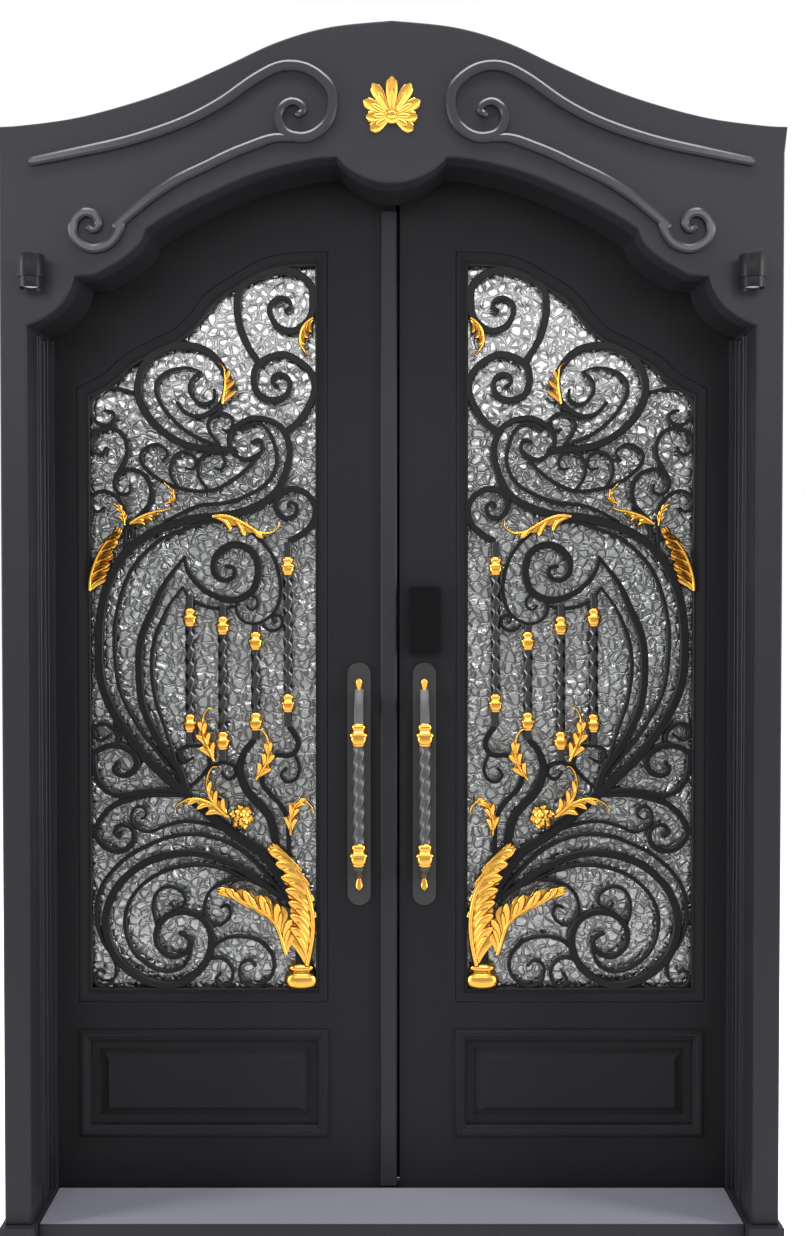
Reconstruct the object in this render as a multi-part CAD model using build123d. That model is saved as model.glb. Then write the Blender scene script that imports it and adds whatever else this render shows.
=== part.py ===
from build123d import *
from math import acos, ceil, cos, degrees, hypot, pi, radians, sin
import os

# Double security door: a fixed frame with an arched head, and two glazed leaves that swing inwards.
# Millimetres. X runs to the right, Y away from the viewer, Z up. The origin is on the underside,
# midway across the width and the depth of the frame.

# Frame
frame_width = 1700.0
face_width = 59.0           # face of a jamb, seen from the front
spring_height = 2012.0      # where the shaped head meets the jambs
head_height = 2400.0        # underside of the straight rail behind the shaped head
head_rail_height = 70.0
reveal_depth = 200.0        # front face of the frame to the back of the stop
stop_lip = 11.0             # how far the stop stands in from the reveal
stop_thickness = 23.0
rebate = 11.0               # how far the frame steps back beside the leaves
flute_depth = 7.0
flutes = ((88.0, 26.0), (141.0, 36.0))      # distance from the front face, width
plinth_height = 45.0
plinth_forward = 20.0
plinth_outward = 8.0
sill_height = 40.0
sill_back_height = 28.0
sill_setback = 14.0
pediment_thickness = 60.0
soffit_rise = 40.0          # top of the soffit above the underside of the head rail
soffit_step = 8.0           # the soffit lies this much above the edge of the pediment

# Leaves
leaf_thickness = 80.0
leaf_side_gap = 7.0
leaf_stop_gap = 6.0
leaf_bottom_gap = 8.0
leaf_top_gap = 8.0
meeting_left = 9.0          # front edge of the left leaf at the meeting gap
meeting_gap = 9.0
meeting_bevel_left = 3.0
meeting_bevel_right = 6.0
window_inner = 172.0        # sides of a window, measured from the middle of the door
hinge_stile_width = 85.0
window_top_margin = 201.0   # highest point of a window below the head rail
window_bottom = 498.0
bead_width = 25.0
bead_depth = 12.0
glass_thickness = 8.0
glass_edge = 12.0           # how far the glass reaches into its groove
glass_setback = 38.0        # front face of a leaf to the front of its glass

# Panels at the foot of the leaves
panel_bottom, panel_top = 160.0, 411.0
panel_margin = 24.0         # moulding outside the line of the window
moulding_width = 25.0
moulding_height = 8.0
channel_width = 22.0
channel_depth = 10.0
field_bevel = 20.0
field_height = 2.0          # raised field above the face of the leaf

# Lattice
lattice_setback = 12.0      # front face of a leaf to the front of the lattice
lattice_depth = 16.0
border = 6.0
thick_turn = 34.0           # degrees between two facets of a thick scroll
thin_turn = 58.0
edge_turn = 26.0            # the same for the edges of window and head
bar_size = 18.0
collar_size = 34.0
collar_height = 46.0
collar_neck = 4.0           # step of a collar towards its ends
collar_band = 0.5           # share of a collar's height that is its wide band
vase_height = 59.0
vase_width = 80.0
vase_depth = 24.0
foliage_thickness = 8.0

# Pull handles
handle_x = 76.0
handle_bottom, handle_top = 704.0, 1271.0
handle_plate_width = 54.0
handle_plate_thickness = 5.0
handle_bar_size = 22.0
handle_projection = 62.0
grip_bottom, grip_top = 831.0, 1108.0       # middles of the two collars
handle_end_inset = 62.0
handle_collar_size = 46.0
handle_collar_height = 56.0

# Lock and meeting strip
lock_width, lock_height = 74.0, 156.0
lock_bottom = 1292.0
lock_thickness = 22.0
lock_radius = 9.0
astragal_width = 38.0
astragal_thickness = 9.0
astragal_overhang = 3.0
astragal_round = 3.0
astragal_end_gap = 6.0

# Hinges
hinge_radius = 9.0
hinge_pin_radius = 5.0
hinge_running_gap = 0.05
hinge_end_gap = 0.3
hinge_proud = 11.0          # pin centre behind the back face of a leaf
hinge_wing = 6.0            # thickness of the plates that carry the knuckles
frame_wing = 30.0
leaf_wing = 40.0
knuckle_height = 40.0
hinge_heights = (260.0, 1220.0, 2180.0)

# Ornament of the head
scroll_moulding_width = 20.0
scroll_moulding_height = 12.0
scroll_end = 0.45           # width of a scroll at its eye, as a share of its body
moulding_turn = 30.0        # degrees between two facets
crown_turn = 8.0
crest_rise = 105.0          # middle of the crest above the underside of the head rail
crest_petals = 9
crest_petal_length = 84.0
crest_petal_width = 17.0
crest_boss = 17.0
crest_thickness = 7.0
light_radius = 29.0
light_height = 50.0
light_rise = 95.0           # underside of a light above the spring of the head
light_side = 18.0           # middle of a light inside the edge of the opening
light_ring_radius = 26.0
light_ring_height = 22.0
light_gap = 3.0
light_arm = 16.0

# Places that follow from the sizes
frame_depth = reveal_depth + leaf_stop_gap + leaf_thickness
half_width = frame_width / 2
front_y = -frame_depth / 2
back_y = frame_depth / 2
stop_y = front_y + reveal_depth
opening = half_width - face_width
leaf_y = stop_y + leaf_stop_gap
leaf_back_y = leaf_y + leaf_thickness
leaf_bottom = sill_back_height + leaf_bottom_gap
leaf_top = head_height - leaf_top_gap
rebate_x = opening + rebate
leaf_edge = rebate_x - leaf_side_gap
meeting_right = meeting_left + meeting_gap
window_outer = leaf_edge - hinge_stile_width
window_top = head_height - window_top_margin
soffit_top = head_height + soffit_rise
light_bottom = spring_height + light_rise
glass_y = leaf_y + glass_setback
lattice_y = leaf_y + lattice_setback
bar_y = lattice_y + lattice_depth / 2
hinge_x = rebate_x
hinge_y = leaf_back_y + hinge_proud

# The outlines below are given for a frame of this half width, spring and head height, and for a window
# with these sides, this sill and this top. They stretch with the door.
drawn_head = (850.0, 2012.0, 2400.0)
drawn_window = (172.0, 710.0, 498.0, 2199.0)
head_rise = (head_height - spring_height) / (drawn_head[2] - drawn_head[1])


def in_head(points):
    half, low, _ = drawn_head
    return [(x * half_width / half, spring_height + (z - low) * head_rise) for x, z in points]


def in_window(points):
    left, right, low, high = drawn_window
    across = (window_outer - window_inner) / (right - left)
    rise = (window_top - window_bottom) / (high - low)
    return [(window_inner + (x - left) * across, window_bottom + (z - low) * rise) for x, z in points]


# Outlines of the right half, as x and z from the middle outwards
crown = ((0, 2669), (134, 2655), (247, 2623), (357, 2573), (469, 2524), (579, 2487), (690, 2459), (802, 2444),
         (856, 2441))
crown_corner = (850, 2385)
apron = (154.0, 2319.0, 119.0)      # radius, lowest point, half width
head_sweep = ((119, 2375), (181, 2369), (291, 2341), (402, 2294), (486, 2250), (534, 2219))
head_volute = ((534, 2219), (547, 2189), (582, 2157), (625, 2132), (644, 2122))
head_notch = ((644, 2122), (688, 2118))
head_hollow = ((688, 2118), (699, 2085), (721, 2053), (753, 2029), (791, 2012))
window_head = in_window(((172, 2199), (232, 2197), (288, 2186), (353, 2151), (413, 2112), (455, 2060), (497, 2022),
                         (550, 1997), (610, 1963), (655, 1922), (710, 1893)))

# Scrolls of the lattice, as x and z. Each ends with the widths of its start, its body and its end.
thick_scrolls = (
    ((309, 1967), (346, 2029), (360, 2101), (339, 2156), (251, 2183), (193, 2156), (184, 2110),
     (228, 2043), (284, 2089), (258, 2121), (235, 2101), (16, 17, 9)),
    ((250, 1806), (210, 1840), (180, 1903), (194, 1953), (251, 1988), (309, 1967), (321, 1928),
     (277, 1882), (238, 1916), (263, 1942), (277, 1923), (16, 16, 9)),
    ((361, 1766), (460, 1773), (520, 1799), (569, 1845), (592, 1905), (573, 1969), (527, 2002), (478, 2009),
     (430, 1995), (395, 1958), (384, 1912), (402, 1870), (444, 1845), (479, 1852), (499, 1875), (16, 18, 8)),
    ((330, 1782), (308, 1790), (304, 1762), (345, 1744), (377, 1773), (372, 1812), (323, 1840), (262, 1822),
     (238, 1760), (264, 1678), (312, 1637), (384, 1614), (456, 1607), (540, 1583), (612, 1537), (659, 1465),
     (682, 1370), (683, 1250), (664, 1179), (625, 1109), (572, 1042), (505, 979), (440, 923), (372, 868),
     (305, 822), (256, 757), (226, 684), (216, 621), (214, 560), (8, 20, 25)),
    ((268, 1662), (229, 1678), (184, 1646), (178, 1602), (212, 1567), (243, 1551), (12, 16, 16)),
    ((392, 1494), (371, 1493), (368, 1473), (392, 1462), (415, 1480), (411, 1518), (373, 1545), (330, 1532),
     (312, 1490), (326, 1438), (373, 1416), (431, 1435), (473, 1477), (484, 1516), (8, 17, 8)),
    ((484, 1516), (529, 1458), (557, 1400), (585, 1331), (592, 1261), (585, 1177), (558, 1109), (523, 1051),
     (497, 1016), (480, 962), (7, 17, 16)),
    ((319, 1092), (346, 1058), (355, 1016), (339, 969), (304, 930), (281, 890), (258, 765), (14, 20, 12)),
    ((250, 712), (337, 773), (398, 806), (461, 822), (524, 817), (587, 794), (641, 747), (669, 689), (669, 630),
     (648, 578), (609, 538), (558, 515), (508, 513), (457, 541), (429, 583), (424, 630), (445, 668), (487, 684),
     (529, 672), (552, 642), (550, 604), (520, 578), (483, 588), (475, 618), (496, 633), (14, 18, 9)),
)
middle_scrolls = (
    ((702, 1056), (671, 1072), (640, 1074), (610, 1061), (597, 1035), (610, 1011), (635, 1005), (652, 1020),
     (642, 1036), (13, 14, 8)),
    ((698, 1064), (697, 1026), (687, 991), (664, 966), (631, 958), (584, 966), (544, 970), (495, 966),
     (12, 13, 9)),
    ((488, 958), (561, 959), (608, 950), (652, 934), (683, 903), (694, 871), (680, 843), (652, 828), (622, 832),
     (606, 852), (607, 876), (624, 888), (645, 884), (650, 868), (638, 862), (9, 13, 8)),
)
thin_scrolls = (
    ((402, 1774), (479, 1810), (532, 1863), (550, 1912), (527, 1946), (478, 1958), (444, 1948), (8, 9, 3)),
    ((446, 1948), (467, 1928), (469, 1898), (444, 1873), (416, 1882), (414, 1906), (6, 9, 6)),
    ((400, 1774), (425, 1810), (426, 1833), (402, 1852), (372, 1840), (377, 1812), (394, 1814), (8, 9, 6)),
    ((356, 1812), (312, 1829), (281, 1799), (268, 1739), (291, 1690), (335, 1662), (384, 1644), (456, 1635),
     (530, 1600), (8, 9, 6)),
    ((300, 1768), (347, 1715), (414, 1674), (479, 1674), (539, 1695), (581, 1732), (583, 1762), (551, 1780),
     (523, 1762), (534, 1742), (7, 9, 6)),
    ((270, 1664), (272, 1640), (252, 1609), (222, 1619), (226, 1642), (243, 1636), (9, 10, 6)),
    ((490, 990), (549, 1060), (593, 1119), (634, 1198), (648, 1286), (645, 1377), (612, 1481), (551, 1549),
     (491, 1579), (414, 1600), (336, 1579), (282, 1526), (262, 1465), (259, 1421), (273, 1382), (304, 1360),
     (336, 1363), (360, 1389), (346, 1412), (329, 1404), (8, 9, 6)),
    ((290, 1366), (283, 1347), (259, 1350), (255, 1372), (271, 1386), (7, 8, 6)),
    ((506, 1036), (532, 1119), (553, 1184), (562, 1261), (552, 1344), (522, 1407), (489, 1444), (459, 1416),
     (424, 1402), (380, 1412), (6, 9, 7)),
    ((473, 1074), (499, 1064), (490, 1036), (466, 1046), (10, 9, 6)),
    ((475, 1075), (440, 1070), (427, 1037), (436, 1014), (476, 974), (8, 9, 8)),
    ((395, 1036), (416, 1028), (436, 1012), (10, 9, 6)),
    ((398, 1036), (373, 1030), (365, 1007), (384, 996), (398, 1012), (10, 9, 6)),
    ((243, 1122), (224, 1095), (220, 1072), (237, 1053), (274, 1051), (300, 1025), (304, 988), (286, 962),
     (260, 934), (245, 899), (242, 860), (240, 730), (14, 11, 9)),
    ((228, 1056), (216, 1023), (225, 997), (246, 990), (260, 1007), (249, 1020), (7, 8, 6)),
    ((590, 902), (576, 910), (580, 928), (600, 930), (611, 912), (605, 889), (584, 875), (561, 874), (532, 886),
     (480, 897), (420, 886), (366, 862), (316, 822), (6, 8, 8)),
    ((236, 702), (316, 796), (377, 843), (440, 864), (503, 864), (566, 843), (629, 806), (680, 747), (694, 679),
     (682, 621), (655, 576), (648, 541), (663, 513), (684, 508), (699, 524), (690, 546), (676, 540), (9, 9, 6)),
    ((290, 738), (398, 785), (461, 794), (524, 783), (578, 754), (615, 710), (627, 656), (611, 597), (571, 557),
     (525, 543), (485, 560), (470, 610), (8, 9, 8)),
    ((600, 1900), (657, 1911), (689, 1897), (704, 1865), (697, 1839), (677, 1825), (657, 1828), (646, 1842),
     (653, 1856), (668, 1858), (8, 9, 6)),
    ((648, 1701), (629, 1731), (617, 1760), (622, 1792), (642, 1813), (668, 1817), (693, 1806), (702, 1781),
     (695, 1761), (677, 1757), (667, 1772), (8, 10, 6)),
    ((608, 1560), (604, 1598), (583, 1620), (564, 1647), (563, 1679), (576, 1706), (602, 1720), (631, 1717),
     (647, 1696), (645, 1676), (631, 1663), (612, 1668), (611, 1684), (9, 10, 6)),
    ((624, 1530), (622, 1615), (631, 1641), (650, 1662), (675, 1671), (696, 1661), (703, 1641), (689, 1622),
     (673, 1631), (9, 9, 6)),
    ((497, 1676), (515, 1706), (515, 1731), (506, 1752), (486, 1762), (465, 1755), (456, 1737), (464, 1722),
     (480, 1724), (7, 8, 5)),
    ((430, 1674), (450, 1704), (451, 1731), (441, 1752), (419, 1762), (398, 1755), (389, 1737), (397, 1722),
     (413, 1724), (7, 8, 5)),
    ((652, 1072), (642, 1093), (654, 1117), (677, 1127), (697, 1116), (695, 1096), (680, 1087), (664, 1098),
     (10, 10, 6)),
    ((551, 648), (561, 696), (550, 731), (519, 743), (489, 726), (487, 702), (508, 691), (520, 703), (8, 8, 6)),
    ((338, 760), (386, 756), (424, 735), (440, 696), (429, 663), (403, 653), (379, 675), (387, 698), (401, 694),
     (8, 8, 6)),
    ((428, 594), (391, 620), (349, 625), (307, 612), (279, 576), (282, 534), (319, 508), (352, 520), (357, 555),
     (335, 569), (321, 557), (8, 8, 6)),
    ((432, 572), (398, 574), (375, 550), (379, 517), (399, 507), (413, 524), (403, 536), (8, 8, 6)),
)
# Twisted bars, as x, bottom, top, then the middles of the two collars
bars = ((473, 1078, 1428, 1128, 1376), (396, 1040, 1404, 1087, 1357), (319, 1090, 1356, 1132, 1321),
        (243, 1120, 1551, 1175, 1496))
twist_turns_per_metre = 7.5
twist_section = 45.0        # degrees of twist between two sections

# Gold leaves: points of the middle rib from root to tip, greatest half width, lobes on each side
foliage = (
    (((214, 575), (203, 655), (214, 735), (253, 810), (284, 842)), 33, 6),
    (((236, 866), (232, 915), (212, 950), (186, 922)), 14, 2),
    (((236, 600), (262, 668), (326, 710), (406, 738)), 25, 5),
    (((376, 914), (408, 950), (428, 985), (424, 1022)), 13, 3),
    (((394, 904), (430, 936), (468, 950), (506, 940)), 13, 3),
    (((424, 1040), (431, 1078), (440, 1112), (437, 1164)), 19, 3),
    (((312, 996), (302, 1030), (286, 1066), (282, 1120)), 16, 3),
    (((632, 1584), (668, 1530), (687, 1475), (694, 1436)), 23, 4),
    (((622, 1590), (628, 1622), (644, 1638), (668, 1642)), 10, 2),
    (((606, 1588), (575, 1606), (545, 1620), (512, 1630)), 12, 3),
    (((528, 1640), (510, 1652), (510, 1668), (532, 1692)), 7, 2),
    (((418, 1602), (364, 1582), (320, 1564), (278, 1586)), 13, 4),
    (((386, 1870), (380, 1910), (386, 1946), (398, 1978)), 15, 4),
    (((178, 2066), (205, 2036), (206, 2008), (192, 1982)), 12, 3),
)
rose_middle = (352, 908)
rose_radius = 30.0
rose_petals = 6
leaf_tip = 1.5
notch_share = 0.66          # width of a leaf between two lobes, as a share of its width there

# Head scrolls, as x and z of their middle lines
upper_scroll = ((784, 2362), (680, 2383), (568, 2408), (457, 2445), (373, 2487), (291, 2543), (235, 2568),
                (181, 2562), (137, 2528), (127, 2490), (137, 2450), (164, 2424), (196, 2415), (229, 2425),
                (244, 2454), (238, 2478), (218, 2492), (196, 2486), (190, 2472), (202, 2464))
lower_scroll = ((262, 2416), (291, 2404), (347, 2380), (401, 2354), (458, 2327), (514, 2292), (557, 2258),
                (588, 2228), (605, 2199), (640, 2178), (672, 2192), (688, 2224), (678, 2248), (658, 2254),
                (638, 2244), (634, 2226), (650, 2216))


def block(x0, x1, y0, y1, z0, z1):
    return Pos((x0 + x1) / 2, (y0 + y1) / 2, (z0 + z1) / 2) * Box(abs(x1 - x0), abs(y1 - y0), abs(z1 - z0))


def outline(points, side=1):
    """A flat face from x and z, on the left or the right side of the door."""
    return make_face(Polyline(*[(side * x, z) for x, z in points], close=True))


def upright(shape, y0, y1):
    """A flat face or sketch given in x and z, thickened from y0 back to y1."""
    return Pos(0, y1, 0) * Rot(90, 0, 0) * extrude(shape, y1 - y0)


def bar(points, z0, z1):
    """A straight upright bar whose plan is given as x and y."""
    return Pos(0, 0, z0) * extrude(make_face(Polyline(*points, close=True)), z1 - z0)


def curve(points, turn, longest=160.0):
    """Points of a smooth curve through the given ones, closer together where it turns."""
    ends = [points[0]] + list(points) + [points[-1]]
    line = []
    for a, b, c, d in zip(ends, ends[1:], ends[2:], ends[3:]):
        into, out = (c[0] - a[0], c[1] - a[1]), (d[0] - b[0], d[1] - b[1])
        size = hypot(*into) * hypot(*out)
        angle = degrees(acos(max(-1, min(1, (into[0] * out[0] + into[1] * out[1]) / size))))
        count = max(1, round(angle / turn), ceil(hypot(c[0] - b[0], c[1] - b[1]) / longest))
        for i in range(count):
            t = i / count
            line.append(tuple(0.5 * (2 * q + (r - p) * t + (2 * p - 5 * q + 4 * r - s) * t * t
                                     + (3 * q - p - 3 * r + s) * t ** 3) for p, q, r, s in zip(a, b, c, d)))
    return line + [tuple(points[-1])]


def normals(line):
    """Unit vectors to the left of the line at each of its points."""
    result = []
    for i in range(len(line)):
        (x0, z0), (x1, z1) = line[max(i - 1, 0)], line[min(i + 1, len(line) - 1)]
        length = hypot(x1 - x0, z1 - z0)
        result.append((-(z1 - z0) / length, (x1 - x0) / length))
    return result


def shifted(line, distance):
    return [(x + nx * distance, z + nz * distance) for (x, z), (nx, nz) in zip(line, normals(line))]


def ribbon(line, widths):
    """Outline of a flat bar along a line. Its width changes near both ends."""
    start, body, end = widths
    taper = 0.3
    left, right = [], []
    for i, ((x, z), (nx, nz)) in enumerate(zip(line, normals(line))):
        t = i / (len(line) - 1)
        width = body
        if t < taper:
            width = start + (body - start) * t / taper
        elif t > 1 - taper:
            width = end + (body - end) * (1 - t) / taper
        left.append((x + nx * width / 2, z + nz * width / 2))
        right.append((x - nx * width / 2, z - nz * width / 2))
    return left + right[::-1]


def mirrored(points):
    return [(-x, z) for x, z in points if x > 0]


def side_name(side):
    return "left" if side < 0 else "right"


def save(shape, name):
    export_step(shape, "parts/" + name + ".step")


# Frame

def jamb(side):
    stop_x = opening - stop_lip
    plan = [(opening, front_y), (half_width, front_y), (half_width, stop_y), (stop_x, stop_y),
            (stop_x, stop_y - stop_thickness), (opening, stop_y - stop_thickness)]
    front = bar([(side * x, y) for x, y in plan], plinth_height, spring_height)
    for start, width in flutes:
        y0 = front_y + start
        front -= block(side * opening, side * (opening + flute_depth), y0, y0 + width, plinth_height, spring_height)
    back = block(side * rebate_x, side * half_width, stop_y, back_y, 0, head_height + head_rail_height)
    return front + back


def plinths():
    return Compound(children=[
        block(side * (opening - stop_lip), side * (half_width + plinth_outward), front_y - plinth_forward, stop_y,
              0, plinth_height) for side in (-1, 1)])


def sill():
    front = block(-(opening - stop_lip), opening - stop_lip, front_y + sill_setback, stop_y, 0, sill_height)
    back = block(-rebate_x, rebate_x, stop_y, back_y, 0, sill_back_height)
    return front + back


def head_line():
    """Lower edge of the shaped head, right half, from the middle outwards."""
    radius, low, half = apron
    steps = 5
    arc = [(half * i / steps, low + radius - (radius ** 2 - (half * i / steps) ** 2) ** 0.5) for i in range(steps)]
    for stretch in (head_sweep, head_volute, head_notch, head_hollow):
        arc += curve(stretch, edge_turn)[:-1]
    return in_head(arc) + [(opening, spring_height)]


def pediment():
    edge = [(half_width, spring_height)] + head_line()[::-1]
    top = in_head(curve(crown, crown_turn) + [crown_corner])
    top[-1] = (half_width, top[-1][1])
    points = edge + mirrored(head_line()) + [(-half_width, spring_height)] + mirrored(top[::-1]) + top
    return upright(outline(points), front_y, front_y + pediment_thickness)


def soffit():
    line = [(x, min(z + soffit_step, soffit_top)) for x, z in head_line()]
    line[-1] = (opening, spring_height + soffit_step)
    edge = [(half_width, spring_height), (opening, spring_height)] + line[::-1]
    points = edge + mirrored(line) + [(-opening, spring_height), (-half_width, spring_height),
                                      (-half_width, soffit_top), (half_width, soffit_top)]
    return upright(outline(points), front_y + pediment_thickness, stop_y)


def head_rail():
    return block(-rebate_x, rebate_x, stop_y, back_y, head_height, head_height + head_rail_height)


def head_scrolls():
    width = scroll_moulding_width * head_rise
    shapes = [upright(outline(ribbon(curve(in_head(line), moulding_turn), (width, width, width * scroll_end)), side),
                      front_y - scroll_moulding_height, front_y)
              for side in (-1, 1) for line in (upper_scroll, lower_scroll)]
    return Compound(children=shapes)


def petal(x, z, angle, near, far, half):
    """Outline of a pointed petal that leaves x and z at an angle in degrees."""
    along = ((0.0, 0.35), (0.25, 0.8), (0.55, 1.0), (0.85, 0.55), (1.0, 0.0))
    direction = radians(angle)
    ux, uz = cos(direction), sin(direction)
    left = [(x + ux * (near + (far - near) * t) - uz * half * w, z + uz * (near + (far - near) * t) + ux * half * w)
            for t, w in along]
    right = [(x + ux * (near + (far - near) * t) + uz * half * w, z + uz * (near + (far - near) * t) - ux * half * w)
             for t, w in along[:-1]]
    return left + right[::-1]


def crest():
    """A palmette: petals that fan out above a round boss."""
    foot = head_height + crest_rise - crest_petal_length / 2
    shape = Sketch() + [Pos(0, foot) * Circle(crest_boss)]
    for i in range(crest_petals):
        angle = -30 + 240 * i / (crest_petals - 1)
        length = crest_petal_length * (0.72 + 0.28 * sin(radians(max(0, min(180, angle)))))
        shape += outline(petal(0, foot, angle, crest_boss * 0.6, length, crest_petal_width / 2))
    return upright(shape, front_y - crest_thickness, front_y)


def downlights():
    shapes = []
    for side in (-1, 1):
        x, y = side * (opening - light_side), front_y - light_radius - light_gap
        body = Pos(x, y, light_bottom + light_height / 2) * Cylinder(light_radius, light_height)
        ring = Pos(x, y, light_bottom - light_ring_height / 2) * Cylinder(light_ring_radius, light_ring_height)
        hollow = Pos(x, y, light_bottom - light_ring_height / 2 - light_gap) * Cylinder(
            light_ring_radius - light_gap, light_ring_height)
        arm = block(x - light_arm / 2, x + light_arm / 2, y, front_y, light_bottom + light_arm,
                    light_bottom + 2 * light_arm)
        shapes.append(body + ring + arm - hollow)
    return Compound(children=shapes)


def frame_hinges():
    """Frame halves of the hinges: a lower knuckle with a fixed pin, on a plate behind the jamb."""
    shapes = []
    for side in (-1, 1):
        for z in hinge_heights:
            knuckle = Pos(side * hinge_x, hinge_y, z - knuckle_height / 2) * Cylinder(hinge_radius, knuckle_height)
            pin = Pos(side * hinge_x, hinge_y, z + knuckle_height / 2) * Cylinder(hinge_pin_radius, knuckle_height)
            wing = block(side * hinge_x, side * (hinge_x + frame_wing), back_y, back_y + hinge_wing,
                         z - knuckle_height, z)
            shapes.append(knuckle + pin + wing)
    return Compound(children=shapes)


# Leaves

def leaf_hinges(side):
    """Leaf halves of the hinges: an upper knuckle bored for the pin, on a plate behind the leaf."""
    shapes = []
    height = knuckle_height - hinge_end_gap
    for z in hinge_heights:
        middle = z + hinge_end_gap + height / 2
        knuckle = Pos(side * hinge_x, hinge_y, middle) * Cylinder(hinge_radius, height)
        wing = block(side * (hinge_x - leaf_wing), side * hinge_x, leaf_back_y, leaf_back_y + hinge_wing,
                     z + hinge_end_gap, z + knuckle_height)
        bore = Pos(side * hinge_x, hinge_y, middle) * Cylinder(hinge_pin_radius + hinge_running_gap, height)
        shapes.append(knuckle + wing - bore)
    return Compound(children=shapes)


def glass(side):
    head = shifted(curve(window_head, edge_turn), glass_edge)
    inner, outer = window_inner - glass_edge, window_outer + glass_edge
    head = [(inner, head[0][1])] + [p for p in head if window_inner < p[0] < window_outer] + [(outer, head[-1][1])]
    points = [(inner, window_bottom - glass_edge), (outer, window_bottom - glass_edge)] + head[::-1]
    return upright(outline(points, side), glass_y, glass_y + glass_thickness)


def stile(side, outer, inner, bevel):
    """An upright of a leaf, notched below the window for the bottom rail."""
    way = 1 if inner > outer else -1
    notch = inner - way * bead_width
    plan = [(outer, leaf_y), (notch, leaf_y), (inner, leaf_y + bead_depth), (inner, leaf_back_y),
            (outer + bevel, leaf_back_y)]
    foot = block(notch, inner, leaf_y, leaf_back_y, leaf_bottom, window_bottom - bead_width)
    return bar(plan, leaf_bottom, leaf_top) - foot - glass(side)


def top_rail(side):
    line = curve(window_head, edge_turn)
    low = shifted(line, bead_width)
    corners = [(window_outer, leaf_top), (window_inner, leaf_top)]
    low = [(window_inner, low[0][1])] + low[1:-1] + [(window_outer, low[-1][1])]
    front, behind = Plane.XZ.offset(-leaf_y), Plane.XZ.offset(-leaf_y - bead_depth)
    bead = loft([front * outline(low + corners, side), behind * outline(line + corners, side)], ruled=True)
    return bead + upright(outline(line + corners, side), leaf_y + bead_depth, leaf_back_y) - glass(side)


def frame_of(x0, x1, z0, z1, width):
    """A flat rectangular frame in x and z, measured over its outside."""
    middle = Pos((x0 + x1) / 2, (z0 + z1) / 2)
    return middle * Rectangle(x1 - x0, z1 - z0) - middle * Rectangle(x1 - x0 - 2 * width, z1 - z0 - 2 * width)


def panel_span(inset):
    """Left, right, bottom and top of the panel's moulding, moved inwards by an inset."""
    return (window_inner - panel_margin + inset, window_outer + panel_margin - inset - 4,
            panel_bottom + inset, panel_top - inset)


def bottom_rail(side):
    low, high = window_inner - bead_width, window_outer + bead_width
    body = block(side * low, side * high, leaf_y, leaf_back_y, leaf_bottom, window_bottom - bead_width)
    section = [(leaf_y, window_bottom - bead_width), (leaf_y + bead_depth, window_bottom),
               (leaf_back_y, window_bottom), (leaf_back_y, window_bottom - bead_width)]
    lip = extrude(Plane.YZ * make_face(Polyline(*section, close=True)), window_outer - window_inner)
    lip = Pos(window_inner if side > 0 else -window_outer, 0, 0) * lip
    rail = body + lip
    x0, x1, z0, z1 = panel_span(moulding_width)
    for y0, y1, raised in ((leaf_y, leaf_y + channel_depth, -moulding_height),
                           (leaf_back_y - channel_depth, leaf_back_y, moulding_height)):
        rail -= block(side * x0, side * x1, y0, y1, z0, z1)
        a, b, c, d = panel_span(0)
        shape = frame_of(min(side * a, side * b), max(side * a, side * b), c, d, moulding_width)
        face = leaf_y if raised < 0 else leaf_back_y
        rail += upright(shape, min(face, face + raised), max(face, face + raised))
    return rail - glass(side)


def raised_panels(side):
    x0, x1, z0, z1 = panel_span(moulding_width + channel_width)
    shapes = []
    for foot_y, way in ((leaf_y + channel_depth, -1), (leaf_back_y - channel_depth, 1)):
        foot = Plane((side * (x0 + x1) / 2, foot_y, (z0 + z1) / 2), x_dir=(1, 0, 0), z_dir=(0, way, 0))
        top = foot.offset(channel_depth + field_height)
        shapes.append(loft([foot * Rectangle(x1 - x0, z1 - z0),
                            top * Rectangle(x1 - x0 - 2 * field_bevel, z1 - z0 - 2 * field_bevel)], ruled=True))
    return Compound(children=shapes)


def vase_outline():
    """Foliate foot of the lattice's stem, right side, as x and z."""
    x = in_window(thick_scrolls[3][-2:-1])[0][0]
    z = window_bottom + border
    half = vase_width / 2
    profile = ((0.45, 0), (0.85, 0.08), (1.0, 0.3), (0.9, 0.55), (0.55, 0.68), (0.8, 0.76), (0.8, 0.92), (0.5, 1.0))
    right = [(x + half * w, z + vase_height * h) for w, h in profile]
    left = [(x - half * w, z + vase_height * h) for w, h in profile]
    return right + left[::-1]


def bar_places():
    """x, bottom, top and middles of the two collars of each upright bar."""
    for x, *heights in bars:
        points = in_window([(x, z) for z in heights])
        yield (points[0][0],) + tuple(z for _, z in points)


def bar_face(x, z0, z1, size, side):
    return outline([(x - size / 2, z0), (x + size / 2, z0), (x + size / 2, z1), (x - size / 2, z1)], side)


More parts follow.
